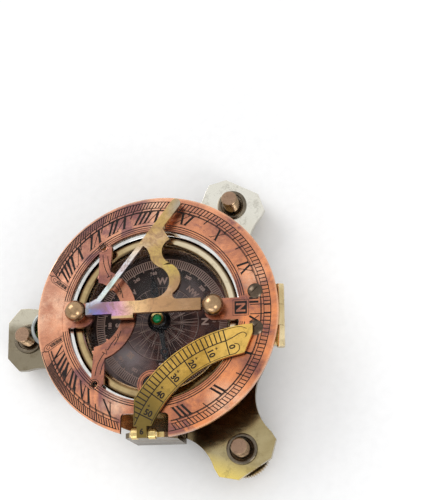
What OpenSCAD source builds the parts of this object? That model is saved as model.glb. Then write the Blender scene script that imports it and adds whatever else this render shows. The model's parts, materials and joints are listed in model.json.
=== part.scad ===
// Sundial compass on three levelling feet.
// X points to the north mark of the hour ring, Y to the west mark, Z is up.
// The feet stand on Z = 0 and the outline is centred on the origin.

/* [Hour ring] */
// outer radius of the hour ring
ring_r = 43.7; // [30:0.5:60]
// offset of the outer edge of the ring towards the north
ring_ecc = 1.2; // [0:0.1:2]
// radius of the opening in the hour ring
ring_in_r = 31.2; // [20:0.2:45]
// thickness of the hour ring
ring_t = 1.6; // [1:0.1:3]
// height of the upper face of the hour ring above the table
ring_top = 33.5; // [28:0.5:45]
// radius of the line outside the minute marks
minute_r = 42.2; // [30:0.2:50]
// radius of the line inside the minute marks
tick_r = 39.8; // [28:0.2:48]
// radius of the line outside the numerals
strip_r = 38.8; // [28:0.2:48]
// radius at which the engraved hour lines end
hour_r = 37.2; // [28:0.2:48]
// radius of the fine line inside the numerals
border_r = 33.2; // [25:0.2:45]
// angle from north at which the minute marks end in the west
marks_west = 157; // [140:0.5:175]
// angle from north at which the minute marks end in the east
marks_east = 162.5; // [140:0.5:175]
// width of an engraved line
line_w = 0.3; // [0.15:0.05:0.6]
// depth of an engraved line
line_d = 0.15; // [0.05:0.05:0.4]
// latitude for which the hour lines are divided, with 90 for even hours as in the photograph
dial_latitude = 90; // [20:1:90]
// distance of the gnomon foot south of the ring centre
foot_south = 24; // [10:0.5:30]
// width of the notch for the latitude arc
notch_w = 17; // [8:0.5:25]
// distance from the ring centre to the floor of the notch
notch_y = 35.2; // [30:0.2:42]
// offset of the notch towards the south
notch_off = 2.2; // [0:0.1:6]
// corner radius of the notch
notch_corner = 1.5; // [0.5:0.1:3]

/* [Pierced work] */
// half width of the north tab
tab_n_w = 3.9; // [3:0.1:6]
// radius of the south tab
tab_s_r = 4.4; // [3:0.1:7]
// distance of the east eye from the ring centre
eye_y = 25.2; // [20:0.2:28]
// outer radius of the eye
eye_r = 5; // [3:0.1:7]
// radius of the letter disc in the eye
eye_disc_r = 3.2; // [2:0.1:5]
// width of the neck that joins the eye to the ring
eye_neck = 7; // [3:0.5:10]
// thickness of the letter disc
eye_disc_t = 1.3; // [0.5:0.1:2]
// centre of the arch south of the ring centre
arch_x = 23.4; // [20:0.2:35]
// outer radius of the arch
arch_out_r = 17.4; // [12:0.2:28]
// inner radius of the arch
arch_in_r = 12.2; // [8:0.2:24]
// distance of the straight arms of the arch south of the ring centre
arch_arm_x = 18.65; // [12:0.2:25]
// width of an arm of the arch
arch_arm_w = 4.1; // [3:0.1:8]
// distance of the arm ends from the centre line
arch_arm_y = 25.2; // [18:0.2:30]
// offset of an arm end from its arm towards the south
arch_end_off = 1.1; // [0:0.1:3]
// radius of a hole at an arm end
arch_hole_r = 1.25; // [0.5:0.05:2]
// radius of the rounded arm end
arch_end_r = 2.8; // [2:0.1:5]
// turn of the arch about the ring centre
arch_turn = -1.8; // [-6:0.2:6]
// length of a flame barb on the arch
barb_l = 1.1; // [0.5:0.1:4]

/* [Gnomon] */
// offset of the gnomon axis towards the west
gnomon_y = 1.2; // [-3:0.1:4]
// height of the gnomon axis above the ring
gnomon_rise = 3.9; // [3:0.1:6]
// thickness of the gnomon
gnomon_t = 2.2; // [1:0.1:4]
// south end of the bar from the ring centre
bar_south = 23.2; // [15:0.2:28]
// north end of the bar from the ring centre
bar_north = 18.3; // [10:0.2:24]
// width of the bar on the side of the leaf
bar_w = 2.5; // [1.5:0.1:4]
// width of the bar on the side of the lug
bar_low_w = 1.9; // [1.2:0.1:3]
// angle of the style above the bar
style_angle = 53; // [30:1:65]
// distance of the style foot south of the ring centre
style_foot = 20.2; // [15:0.2:25]
// length of the edge from style foot to leaf tip
style_l = 47.8; // [30:0.1:60]
// width of the style
style_w = 1.8; // [1:0.1:5]
// width of the leaf
leaf_w = 3.5; // [2:0.1:8]
// length of the leaf
leaf_l = 11.8; // [6:0.1:20]
// radius of the hollow behind the leaf
hollow_r = 4.72; // [3:0.02:9]
// outer radius of the scroll support
scroll_out_r = 6.34; // [4:0.02:10]
// inner radius of the scroll support
scroll_in_r = 5.85; // [3:0.05:9]
// distance along the style to the top of its opening
opening_l = 26.6; // [15:0.1:35]
// width of the stop lug under the bar
lug_w = 7.7; // [4:0.1:14]
// distance of the far end of the lug south of the ring centre
lug_x = 13.6; // [8:0.1:20]
// distance of the lug face from the axis
lug_y = 3.65; // [2.5:0.1:5]
// radius of a pivot of the gnomon
pivot_r = 0.8; // [0.5:0.05:2]
// length of a pivot
pivot_l = 5; // [3:0.5:8]
// radius of a ball post
ball_r = 3.8; // [3:0.1:6]
// clear length between a ball post and the bar
post_gap = 0.3; // [0.1:0.05:1]
// radius of the shank of a ball post
shank_r = 1.6; // [1:0.1:3]

/* [Latitude arc] */
// outer radius of the arc
arc_out_r = 51; // [40:0.5:60]
// inner radius of the arc
arc_in_r = 41; // [30:0.5:55]
// centre of the arc north of the ring centre
arc_cx = 38.5; // [20:0.5:50]
// centre of the arc east of the ring centre
arc_cy = 56.7; // [40:0.5:70]
// thickness of the arc
arc_t = 1.5; // [0.8:0.1:3]
// clear height of the folded arc above the ring
arc_rise = 1.2; // [0.5:0.1:3]
// distance of the arc axis from the ring centre
arc_axis_y = 42.2; // [38:0.1:48]
// drop of the arc axis below the upper face of the ring
arc_axis_drop = 0.85; // [0:0.05:3]
// centre of the arc hinge south of the ring centre
arc_hinge_x = 2.4; // [0:0.1:8]
// width of the tongue of the arc
tongue_w = 3.4; // [2:0.1:8]
// thickness of an ear of the arc bracket
ear_t = 2.4; // [1:0.1:4]
// radius of an ear
ear_r = 1.9; // [1.2:0.1:3]
// radius of the arc pin
arc_pin_r = 0.8; // [0.5:0.05:1.5]
// offset of the arc bracket towards the north from its hinge
arc_bracket_off = 1.6; // [-4:0.1:6]
// width of the arc bracket
arc_bracket_w = 18; // [10:0.5:30]

/* [Ring hinge] */
// distance of the ring hinge axis from the ring centre
hinge_x = 45.1; // [44:0.1:52]
// drop of the ring hinge axis below the upper face of the ring
hinge_drop = 3.2; // [2:0.1:5]
// offset of the ring hinge towards the east
hinge_off = 1.9; // [-3:0.1:3]
// length of the ring hinge
hinge_l = 21.2; // [12:0.2:30]
// length of the middle knuckle
knuckle_l = 7.6; // [4:0.1:12]
// radius of a knuckle
knuckle_r = 1.5; // [1.2:0.1:3]
// radius of the ring hinge pin
hinge_pin_r = 0.75; // [0.5:0.05:1.5]
// thickness of a hinge leaf
leaf_t = 1.2; // [0.8:0.1:2]
// half distance between the screws in the ring
ring_screw_y = 6.65; // [4:0.05:9]
// distance of the ring screws from the ring centre
ring_screw_x = 36.7; // [34:0.1:41]
// radius of a round screw head
round_head_r = 2.7; // [1.5:0.1:4]
// height of a round screw head
round_head_h = 1; // [0.5:0.1:2]

/* [Compass] */
// outer radius of the case
case_r = 33; // [28:0.2:40]
// wall of the case
case_wall = 1.4; // [0.8:0.1:3]
// floor of the case
case_floor = 1.6; // [1:0.1:3]
// drop of the case rim below the upper face of the ring
case_drop = 3; // [2:0.1:6]
// outer radius of the bowl
bowl_r = 30.2; // [25:0.2:36]
// inner radius of the bowl
bowl_in_r = 27.6; // [20:0.2:33]
// drop of the card below the upper face of the ring
card_drop = 14.2; // [8:0.2:18]
// thickness of the card
card_t = 1; // [0.5:0.1:2]
// thickness of the compass glass
glass_t = 1.2; // [0.8:0.1:2]
// drop of the bezel top below the upper face of the ring
bezel_drop = 4; // [3:0.1:8]
// radius of the opening in the bezel
bezel_in_r = 26.7; // [20:0.1:32]
// half length of the needle
needle_l = 18.4; // [12:0.2:25]
// heading of the needle in the drawing, anticlockwise from north
needle_turn = 100; // [0:1:360]
// height of the needle above the card
needle_rise = 3.1; // [2:0.1:6]
// thickness of the needle
needle_t = 0.6; // [0.3:0.1:1.2]
// radius of the needle hub
hub_r = 4.3; // [2:0.1:6]
// radius of the jewel collar
collar_r = 2.4; // [1.5:0.1:4]
// radius of the jewel
jewel_r = 1.7; // [1:0.1:3]
// clear height between the glass and the top of the hub
hub_gap = 1.9; // [1:0.1:4]
// clear height between the glass and the jewel
jewel_gap = 0.5; // [0.2:0.1:2]
// depth of the glass below the top of the bezel
glass_sink = 0.7; // [0:0.1:2]
// radius of the needle pivot
point_r = 0.55; // [0.3:0.05:1]

/* [Spirit level] */
// clear width between the case and the level
level_case_gap = 2.4; // [1:0.1:5]
// clear width between the level and the axis of the foot behind it
level_foot_gap = 3.7; // [3.2:0.1:8]
// wall of the level
level_wall = 1.5; // [0.8:0.1:3]
// height of the level
level_h = 9; // [5:0.2:14]

/* [Base plate] */
// height of the underside of the plate above the table
plate_z = 9.5; // [7:0.5:15]
// thickness of the plate
plate_t = 2.4; // [1.5:0.1:4]
// radius of the round middle of the plate
plate_r = 40; // [34:0.5:48]
// turn of the three lobes against the hour ring
lobe_turn = 2; // [-5:0.5:5]
// distance of a lobe end from the centre
lobe_end = 61.8; // [55:0.5:75]
// half width of a lobe at its waist
lobe_waist = 11.6; // [7:0.1:15]
// half width of a lobe at its shoulder
lobe_shoulder = 12.1; // [8:0.1:16]
// half width of the flat end of a lobe
lobe_tip = 7; // [3:0.1:10]
// depth of the cut corners of a lobe
lobe_cut = 4.6; // [2:0.1:8]
// radius of the hollow sides of a lobe
lobe_hollow = 17; // [10:0.5:30]

/* [Levelling feet] */
// distance of the feet from the centre
foot_r = 53.5; // [45:0.5:60]
// radius of the screw of a foot
stud_r = 3; // [2:0.1:4]
// height of the screw top above the bush
stud_rise = 6.5; // [2:0.5:10]
// pitch of the screw thread
thread_pitch = 1; // [0.5:0.1:2]
// depth of the screw thread
thread_d = 0.4; // [0.2:0.05:0.8]
// radius of the pad under a foot
pad_r = 4.2; // [3:0.1:7]
// height of the pad
pad_h = 2.2; // [1:0.1:4]
// radius of the thumb wheel over its ridges
wheel_r = 9.5; // [6:0.1:12]
// thickness of the thumb wheel
wheel_t = 3.2; // [2:0.1:5]
// height of the thumb wheel above the table
wheel_z = 3.4; // [2.5:0.1:6]
// number of ridges on the thumb wheel
wheel_ridges = 56; // [24:1:80]
// depth of a ridge
ridge_d = 0.5; // [0.2:0.05:1]
// flange radius of a bush
bush_r = 5.6; // [4:0.1:8]
// flange height of a bush
bush_h = 1.2; // [0.6:0.1:3]

/* [Fits] */
// radial clearance of a turning or sliding fit
run_gap = 0.05; // [0.02:0.01:0.1]
// radius of a small screw shank
screw_r = 0.9; // [0.5:0.05:1.5]
// radius of a small screw head
screw_head_r = 1.7; // [1:0.1:3]
// height of a small screw head
screw_head_h = 1.1; // [0.5:0.1:2]

/* [Hidden] */
$fn = 64;
// reach of a cutting body past the face it opens
over = 0.5;
plate_top = plate_z + plate_t;
bush_top = plate_top + bush_h;
ring_low = ring_top - ring_t;
lobe_angles = [60 + lobe_turn, 180 + lobe_turn, 300 + lobe_turn];
// the three corner distances that set the outline
west_reach = lobe_end * sin(lobe_angles[0]) + lobe_tip * cos(lobe_angles[0]);
east_reach = -lobe_end * sin(lobe_angles[2]) + lobe_tip * cos(lobe_angles[2]);
south_reach = lobe_end * cos(lobe_turn) + lobe_tip * sin(lobe_turn);
north_reach = hinge_x + knuckle_r;
shift_x = (south_reach - north_reach) / 2;
shift_y = (east_reach - west_reach) / 2;
hinge_z = ring_top - hinge_drop;
arc_z = ring_top + arc_rise;
arc_axis_z = ring_top - arc_axis_drop;
gnomon_z = ring_top + gnomon_rise;
case_in_r = case_r - case_wall;
case_top = ring_top - case_drop;
bezel_top = ring_top - bezel_drop;
card_z = ring_top - card_drop - card_t;
glass_top = bezel_top - glass_sink;
glass_z = glass_top - glass_t;
bowl_z = plate_top + case_floor;
bezel_seat = 0.5;
bowl_top = glass_top - bezel_seat;
needle_z = card_z + card_t + needle_rise;
hub_lip = 0.4;
hub_z = needle_z - hub_lip;
hub_top = glass_z - hub_gap;
jewel_top = glass_z - jewel_gap;
post_south = bar_south + ball_r + post_gap;
post_north = bar_north + ball_r + post_gap;
level_top = plate_top + level_h;
level_r = (foot_r - level_foot_gap - case_r - level_case_gap) / 2;
level_x = case_r + level_case_gap + level_r;

// colours
copper = [0.78, 0.47, 0.36];
brass = [0.72, 0.6, 0.3];
bronze = [0.42, 0.35, 0.22];
steel = [0.35, 0.35, 0.36];
black = [0.08, 0.08, 0.08];
clear = [0.85, 0.95, 0.92, 0.35];
lime = [0.6, 0.9, 0.15];
green = [0.05, 0.6, 0.25];

// Moves a piece drawn about the ring centre to its place in the part.
module placed() {
    translate([shift_x, shift_y, 0]) children();
}

// Twice the area that the points enclose, negative when they run clockwise.
function winding(p) = [for (i = [0 : len(p) - 1]) cross(p[i], p[(i + 1) % len(p)])] * [for (q = p) 1];

// A polygon whose points may run either way round.
module outline(p) {
    polygon(winding(p) < 0 ? [for (i = [len(p) - 1 : -1 : 0]) p[i]] : p);
}

// A flat ring standing on height z.
module washer(outer, inner, z, h) {
    translate([0, 0, z]) difference() {
        cylinder(r = outer, h = h);
        translate([0, 0, -over]) cylinder(r = inner, h = h + 2 * over);
    }
}

// Places children at the three feet.
module at_feet() {
    for (a = lobe_angles) rotate([0, 0, a]) translate([foot_r, 0, 0]) children();
}

module at_foot(i) {
    rotate([0, 0, lobe_angles[i]]) translate([foot_r, 0, 0]) children();
}

// Plan places of the small screws.
case_screw_r = 24;
case_screw_angles = [30, 150, 270];
hinge_screw_x = 36.3;
hinge_screw_y = 5.2;
arc_screw_y = 37;
arc_screw_x = 6.4;

module at_plate_screws() {
    for (a = case_screw_angles) rotate([0, 0, a]) translate([case_screw_r, 0, 0]) children();
    translate([-level_x, 0, 0]) children();
}

module at_bracket_screws() {
    for (s = [-1, 1]) translate([hinge_screw_x, -hinge_off + s * hinge_screw_y, 0]) children();
    for (s = [-1, 1]) translate([arc_bracket_off - arc_hinge_x + s * arc_screw_x, -arc_screw_y, 0])
        children();
}

// Base plate

lobe_c_y = lobe_waist + lobe_hollow;
lobe_c_x = sqrt(pow(plate_r + lobe_hollow, 2) - pow(lobe_c_y, 2));
lobe_in_x = plate_r * lobe_c_x / (plate_r + lobe_hollow);
lobe_in_y = plate_r * lobe_c_y / (plate_r + lobe_hollow);
lobe_out_x = lobe_c_x + sqrt(pow(lobe_hollow, 2) - pow(lobe_c_y - lobe_shoulder, 2));
// the hollows bite a little into the round middle, and the side of a lobe runs into them
lobe_bite = 0.1;
lobe_run = 0.6;
plate_head_h = 1;
plate_head_r = 2;

module lobe_outline() {
    difference() {
        outline([[0, -lobe_in_y], [lobe_out_x - lobe_run, -lobe_in_y],
            [lobe_out_x - lobe_run, -lobe_shoulder],
            [lobe_end - lobe_cut, -lobe_shoulder], [lobe_end, -lobe_tip], [lobe_end, lobe_tip],
            [lobe_end - lobe_cut, lobe_shoulder], [lobe_out_x - lobe_run, lobe_shoulder],
            [lobe_out_x - lobe_run, lobe_in_y], [0, lobe_in_y]]);
        for (s = [-1, 1]) translate([lobe_c_x, s * lobe_c_y])
            circle(r = lobe_hollow + lobe_bite, $fn = 96);
    }
}

module base_plate() {
    color(brass) placed() difference() {
        translate([0, 0, plate_z]) linear_extrude(plate_t) union() {
            circle(r = plate_r, $fn = 128);
            for (a = lobe_angles) rotate(a) lobe_outline();
        }
        at_feet() translate([0, 0, plate_z - over]) cylinder(r = bush_stem_r, h = plate_t + 2 * over);
        at_plate_screws() translate([0, 0, plate_z - over])
            cylinder(r = screw_r, h = plate_t + 2 * over);
        at_plate_screws() translate([0, 0, plate_z - over])
            cylinder(r = plate_head_r, h = plate_head_h + over);
        at_bracket_screws() translate([0, 0, plate_z - over])
            cylinder(r = screw_r, h = plate_t + 2 * over);
    }
}

// Bushes for the levelling screws

bush_stem_r = 4.3;
bush_sink_r = 4.2;
bush_sink_d = 0.7;
bush_edge = 0.3;

module foot_bushes() {
    color(bronze) placed() at_feet() difference() {
        union() {
            translate([0, 0, plate_z]) cylinder(r = bush_stem_r, h = plate_t);
            translate([0, 0, plate_top]) cylinder(r = bush_r, h = bush_h - bush_edge);
            translate([0, 0, bush_top - bush_edge])
                cylinder(r1 = bush_r, r2 = bush_r - bush_edge, h = bush_edge);
        }
        translate([0, 0, plate_z - over])
            cylinder(r = stud_r + run_gap, h = plate_t + bush_h + 2 * over);
        translate([0, 0, bush_top - bush_sink_d]) cylinder(r = bush_sink_r, h = bush_sink_d + over);
    }
}

// Case of the compass

bead_out = 0.6;
bead_r = case_r + bead_out;
bead_h = 1.4;

module compass_case() {
    color(brass) placed() difference() {
        union() {
            translate([0, 0, plate_top]) cylinder(r = case_r, h = case_top - plate_top, $fn = 128);
            translate([0, 0, plate_top]) cylinder(r = bead_r, h = bead_h, $fn = 128);
            translate([0, 0, case_top - bead_h])
                cylinder(r1 = case_r, r2 = bead_r, h = bead_h / 2, $fn = 128);
            translate([0, 0, case_top - bead_h / 2]) cylinder(r = bead_r, h = bead_h / 2, $fn = 128);
        }
        translate([0, 0, bowl_z]) cylinder(r = case_in_r, h = case_top, $fn = 128);
        for (a = case_screw_angles) rotate([0, 0, a]) translate([case_screw_r, 0, plate_z])
            cylinder(r = screw_r, h = plate_t + case_floor + over);
    }
}

plate_slot_w = 0.6;
plate_slot_d = 0.4;
plate_screw_gap = 0.2;

module plate_screws() {
    color(steel) placed() at_plate_screws() difference() {
        union() {
            translate([0, 0, plate_z]) cylinder(r = plate_head_r, h = plate_head_h);
            translate([0, 0, plate_z]) cylinder(r = screw_r, h = plate_t + case_floor - plate_screw_gap);
        }
        translate([-plate_slot_w / 2, -plate_head_r - over, plate_z - over])
            cube([plate_slot_w, 2 * (plate_head_r + over), over + plate_slot_d]);
    }
}

// Bowl, card, spacer, glass and bezel

pivot_stem_r = 1.5;

module compass_bowl() {
    color(black) placed() difference() {
        translate([0, 0, bowl_z]) cylinder(r = bowl_r, h = bowl_top - bowl_z, $fn = 128);
        translate([0, 0, card_z]) cylinder(r = bowl_in_r, h = bowl_top, $fn = 128);
        translate([0, 0, bowl_z - over]) cylinder(r = pivot_stem_r, h = card_z);
    }
}

card_gap = 0.1;
card_r = bowl_in_r - card_gap;
card_line_r = 24.4;
card_scale_r = 21.6;

module compass_card() {
    color(copper) placed() difference() {
        translate([0, 0, card_z]) cylinder(r = card_r, h = card_t, $fn = 128);
        translate([0, 0, card_z - over]) cylinder(r = pivot_stem_r, h = card_t + 2 * over);
        for (r = [card_line_r, card_scale_r])
            washer(r, r - line_w, card_z + card_t - line_d, line_d + over);
    }
}

pivot_foot_h = 1.2;
pivot_foot_r = 2.6;
pivot_neck_r = 1;
point_drop = 1.3;
point_h = 0.6;
point_end_r = 0.12;

module needle_pivot() {
    color(brass) placed() union() {
        translate([0, 0, bowl_z]) cylinder(r = pivot_stem_r, h = card_z + card_t - bowl_z);
        translate([0, 0, card_z + card_t])
            cylinder(r1 = pivot_foot_r, r2 = pivot_neck_r, h = pivot_foot_h);
        translate([0, 0, card_z + card_t])
            cylinder(r = point_r, h = hub_top - point_drop - card_z - card_t);
        translate([0, 0, hub_top - point_drop]) cylinder(r1 = point_r, r2 = point_end_r, h = point_h);
    }
}

spacer_in = 0.6;

module spacer_ring() {
    color(bronze) placed() washer(card_r, bezel_in_r - spacer_in, card_z + card_t, glass_z - card_z - card_t);
}

module compass_glass() {
    color(clear) placed() translate([0, 0, glass_z]) cylinder(r = card_r, h = glass_t, $fn = 128);
}

bezel_edge = 0.6;
bezel_slope = 0.7;
bezel_lip = 0.4;

module glass_bezel() {
    color(brass) placed() rotate_extrude($fn = 128) outline([
        [bezel_in_r, glass_top], [bowl_in_r, glass_top], [bowl_in_r, bowl_top], [bowl_r, bowl_top],
        [bowl_r, bezel_top - bezel_edge], [bowl_r - bezel_edge, bezel_top],
        [bezel_in_r + bezel_slope, bezel_top], [bezel_in_r, bezel_top - bezel_lip]]);
}

// Ring hinge: bracket, pin, screws

riser_x = 38;
riser_t = 1.4;
riser_w = 16;
flange_h = 1.5;
flange_gap = 0.8;
flange_in_x = bead_r + flange_gap;
knuckle_slack = 0.4;
// the leaf of the ring rests on the arm
arm_h = ring_low - leaf_t - run_gap / 2 - (hinge_z - knuckle_r);
knuckle_side = (hinge_l - knuckle_l) / 2;
knuckle_gap = 0.1;

module ring_hinge_bracket() {
    arm_z = hinge_z - knuckle_r;
    color(brass) placed() translate([0, -hinge_off, 0]) difference() {
        union() {
            translate([flange_in_x, -riser_w / 2, plate_top])
                cube([riser_x + riser_t - flange_in_x, riser_w, flange_h]);
            translate([riser_x, -riser_w / 2, plate_top])
                cube([riser_t, riser_w, arm_z + arm_h - plate_top]);
            translate([riser_x, -hinge_l / 2, arm_z]) cube([hinge_x - riser_x, hinge_l, arm_h]);
            for (s = [-1, 1]) translate([hinge_x, s * (knuckle_l + knuckle_side) / 2, hinge_z])
                rotate([90, 0, 0]) cylinder(r = knuckle_r, h = knuckle_side, center = true);
        }
        translate([hinge_x, 0, hinge_z]) rotate([90, 0, 0])
            cylinder(r = hinge_pin_r, h = hinge_l + 2 * over, center = true);
        translate([hinge_x - knuckle_r - knuckle_slack, -knuckle_l / 2, arm_z - over])
            cube([2 * knuckle_r + knuckle_slack + over, knuckle_l, 2 * knuckle_r + 2 * over]);
        for (s = [-1, 1]) translate([hinge_screw_x, s * hinge_screw_y, plate_top - over])
            cylinder(r = screw_r, h = flange_h + 2 * over);
    }
}

pin_head_r = 1.4;
pin_head_h = 0.7;

module ring_hinge_pin() {
    color(steel) placed() translate([hinge_x, -hinge_off, hinge_z]) rotate([90, 0, 0]) union() {
        cylinder(r = hinge_pin_r, h = hinge_l, center = true);
        for (s = [-1, 1]) translate([0, 0, s * (hinge_l + pin_head_h) / 2])
            cylinder(r = pin_head_r, h = pin_head_h, center = true);
    }
}

screw_edge = 0.4;
screw_slot = 0.5;

// A cheese head screw with its head standing on height z.
module small_screw(z, shank) {
    difference() {
        union() {
            translate([0, 0, z - shank]) cylinder(r = screw_r, h = shank + screw_head_h / 2);
            translate([0, 0, z]) cylinder(r = screw_head_r, h = screw_head_h - screw_edge);
            translate([0, 0, z + screw_head_h - screw_edge])
                cylinder(r1 = screw_head_r, r2 = screw_head_r - screw_edge, h = screw_edge);
        }
        translate([-screw_head_r - over, -screw_slot / 2, z + screw_head_h - screw_slot])
            cube([2 * (screw_head_r + over), screw_slot, screw_slot + over]);
    }
}

module bracket_screws() {
    color(steel) placed() at_bracket_screws() small_screw(plate_top + flange_h, plate_t + flange_h);
}

// Arc bracket and pin

// face of the column behind the axis of the arc
column_off = 1;
column_y = arc_axis_y + column_off;
column_t = 1.8;
column_drop = 0.8;
column_top = ring_low - column_drop;
column_chamfer = 4;
arc_foot_gap = 1;
arc_foot_y = bead_r + arc_foot_gap;
ear_gap = 0.1;
ear_clear = 0.5;

module arc_bracket() {
    inner = tongue_w / 2 + ear_gap;
    outer = inner + ear_t;
    left = arc_bracket_off - arc_bracket_w / 2;
    right = arc_bracket_off + arc_bracket_w / 2;
    color(brass) placed() translate([-arc_hinge_x, 0, 0]) difference() {
        union() {
            translate([left, -column_y, plate_top])
                cube([arc_bracket_w, column_y - arc_foot_y, flange_h]);
            translate([0, -column_y + column_t, 0]) rotate([90, 0, 0]) linear_extrude(column_t) outline([
                [left, plate_top], [right, plate_top], [right, column_top - column_chamfer],
                [right - column_chamfer, column_top], [outer, column_top], [outer, arc_axis_z],
                [-outer, arc_axis_z], [-outer, column_top], [left + column_chamfer / 2, column_top],
                [left, column_top - column_chamfer / 2]]);
            for (s = [-1, 1]) translate([s * (inner + ear_t / 2), -arc_axis_y, arc_axis_z])
                rotate([0, 90, 0])
                cylinder(r = ear_r, h = ear_t, center = true);
        }
        translate([-inner, -arc_axis_y - ear_r - over, arc_axis_z - ear_r - ear_clear])
            cube([2 * inner, 2 * (ear_r + over), 2 * ear_r + ear_clear + over]);
        translate([0, -arc_axis_y, arc_axis_z]) rotate([0, 90, 0])
            cylinder(r = arc_pin_r, h = 2 * outer + 2 * over, center = true);
        for (s = [-1, 1]) translate([arc_bracket_off + s * arc_screw_x, -arc_screw_y, plate_top - over])
            cylinder(r = screw_r, h = flange_h + 2 * over);
    }
}

arc_head_r = 1.25;
arc_head_h = 0.5;

module arc_hinge_pin() {
    outer = tongue_w / 2 + ear_gap + ear_t;
    color(steel) placed() translate([-arc_hinge_x, -arc_axis_y, arc_axis_z]) rotate([0, 90, 0]) union() {
        cylinder(r = arc_pin_r, h = 2 * outer, center = true);
        for (s = [-1, 1]) translate([0, 0, s * (outer + arc_head_h / 2)])
            cylinder(r = arc_head_r, h = arc_head_h, center = true);
    }
}

// Round spirit level

level_in_r = level_r - level_wall;
level_floor = 3.4;
level_step = 2;
level_foot_in = 2.2;
level_lip = 0.6;
level_edge = 0.4;
level_glass_t = 1;

module level_cup() {
    color(steel) placed() translate([-level_x, 0, 0]) difference() {
        union() {
            translate([0, 0, plate_top]) cylinder(r = level_r - level_foot_in, h = level_h / 2);
            translate([0, 0, plate_top + level_step])
                cylinder(r = level_r, h = level_h - level_step - level_edge);
            translate([0, 0, level_top - level_edge])
                cylinder(r1 = level_r, r2 = level_r - level_edge, h = level_edge);
        }
        translate([0, 0, plate_top + level_floor]) cylinder(r = level_in_r, h = level_h);
        translate([0, 0, plate_top - over]) cylinder(r = screw_r, h = over + case_floor);
    }
}

module level_fluid() {
    color(lime) placed() translate([-level_x, 0, plate_top + level_floor])
        cylinder(r = level_in_r, h = level_h - level_floor - level_lip - level_glass_t);
}

module level_glass() {
    color(clear) placed() translate([-level_x, 0, level_top - level_lip - level_glass_t])
        cylinder(r = level_in_r, h = level_glass_t);
}

// Hour ring with its pierced work

module notch_outline() {
    half = notch_w / 2 - notch_corner;
    translate([-notch_off, -notch_y]) union() {
        for (s = [-1, 1]) translate([s * half, -notch_corner]) circle(r = notch_corner);
        translate([-half, -notch_corner * 2]) square([2 * half, 2 * notch_corner]);
        translate([-notch_w / 2, -notch_y]) square([notch_w, notch_y - notch_corner]);
    }
}

barb_root = 1.6;
barb_w = 2;
barb_sink = 0.5;

// A pointed barb with its root at (x, y) and its point away from the arch.
module barb(x, y, s, turn) {
    translate([x + barb_sink, s * y]) rotate(s * turn) outline([[barb_root, s * barb_w],
        [-barb_l / 3, s * barb_w * 2 / 3], [-barb_l, 0], [0, -s * barb_w / 8],
            [barb_root, -s * barb_w / 2]]);
}

upper_barb_at = 52;
upper_barb_turn = 42;
low_barb_y = 1.6;
low_barb_turn = 12;
arm_flare = 0.4;
arm_blend = 2;
arm_sink = 0.6;

module arch_outline() {
    left = -arch_arm_x - arch_arm_w / 2;
    right = -arch_arm_x + arch_arm_w / 2;
    join_y = sqrt(pow(arch_out_r, 2) - pow(right + arch_x, 2));
    root_y = sqrt(pow(arch_in_r, 2) - pow(left + arch_x, 2));
    intersection() {
        difference() {
            translate([-arch_x, 0]) circle(r = arch_out_r, $fn = 128);
            translate([-arch_x, 0]) circle(r = arch_in_r, $fn = 128);
        }
        translate([left, -join_y]) square([arch_out_r, 2 * join_y]);
    }
    for (s = [-1, 1]) {
        translate([-arch_arm_x - arch_end_off, s * arch_arm_y]) circle(r = arch_end_r);
        outline([[left - arm_flare, s * arch_arm_y], [right + arm_flare / 2, s * arch_arm_y],
            [right, s * join_y], [left + arm_blend, s * (root_y - arm_sink)], [left, s * root_y]]);
        barb(-arch_x + arch_in_r * cos(upper_barb_at), arch_in_r * sin(upper_barb_at), s, upper_barb_turn);
        barb(left, root_y + low_barb_y, s, low_barb_turn);
    }
}

tab_off = 0.6;
tab_s_in = 1.4;
tab_root = 0.8;
ring_screw_r = 1.2;

module ring_outline() {
    difference() {
        union() {
            difference() {
                translate([ring_ecc, 0]) circle(r = ring_r, $fn = 160);
                circle(r = ring_in_r, $fn = 128);
            }
            translate([post_north, tab_off]) circle(r = tab_n_w);
            translate([post_north, tab_off - tab_n_w])
                square([ring_in_r + tab_root - post_north, 2 * tab_n_w]);
            translate([-post_south + tab_s_in, tab_off]) circle(r = tab_s_r);
            translate([-ring_in_r - tab_root, tab_off - tab_s_r])
                square([ring_in_r + tab_root - post_south + tab_s_in, 2 * tab_s_r]);
            translate([0, -eye_y]) circle(r = eye_r);
            translate([-eye_neck / 2, -ring_in_r - tab_root])
                square([eye_neck, ring_in_r + tab_root - eye_y]);
            rotate(arch_turn) arch_outline();
        }
        notch_outline();
        translate([0, -eye_y]) circle(r = eye_disc_r);
        for (s = [-1, 1]) {
            rotate(arch_turn) translate([-arch_arm_x - arch_end_off, s * arch_arm_y])
                circle(r = arch_hole_r);
            translate([ring_screw_x, s * ring_screw_y]) circle(r = ring_screw_r);
        }
        translate([post_north, gnomon_y]) circle(r = shank_r);
        translate([-post_south, gnomon_y]) circle(r = shank_r);
    }
}

// Distance along a ray from the gnomon foot, at angle a, to the circle of radius r.
function ray(a, r) = foot_south * cos(a) + sqrt(r * r - pow(foot_south * sin(a), 2));
// Angle of the line for h hours after noon on a level dial.
function hour_angle(h) = atan2(sin(dial_latitude) * sin(15 * h), cos(15 * h));

module hour_line(h, inner, outer) {
    a = hour_angle(h);
    from = ray(a, inner);
    translate([-foot_south, 0, ring_top - line_d]) rotate([0, 0, a]) translate([from, -line_w / 2, 0])
        cube([ray(a, outer) - from, line_w, line_d + over]);
}

// The sector round the south mark that bears no marks.
module bare_sector() {
    translate([0, 0, ring_low]) linear_extrude(ring_t + 2 * over) outline([[0, 0],
        on_rim(0, 0, 2 * ring_r, marks_west), on_rim(0, 0, 2 * ring_r, 180), on_rim(0, 0, 2 * ring_r, -marks_east)]);
}

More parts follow.
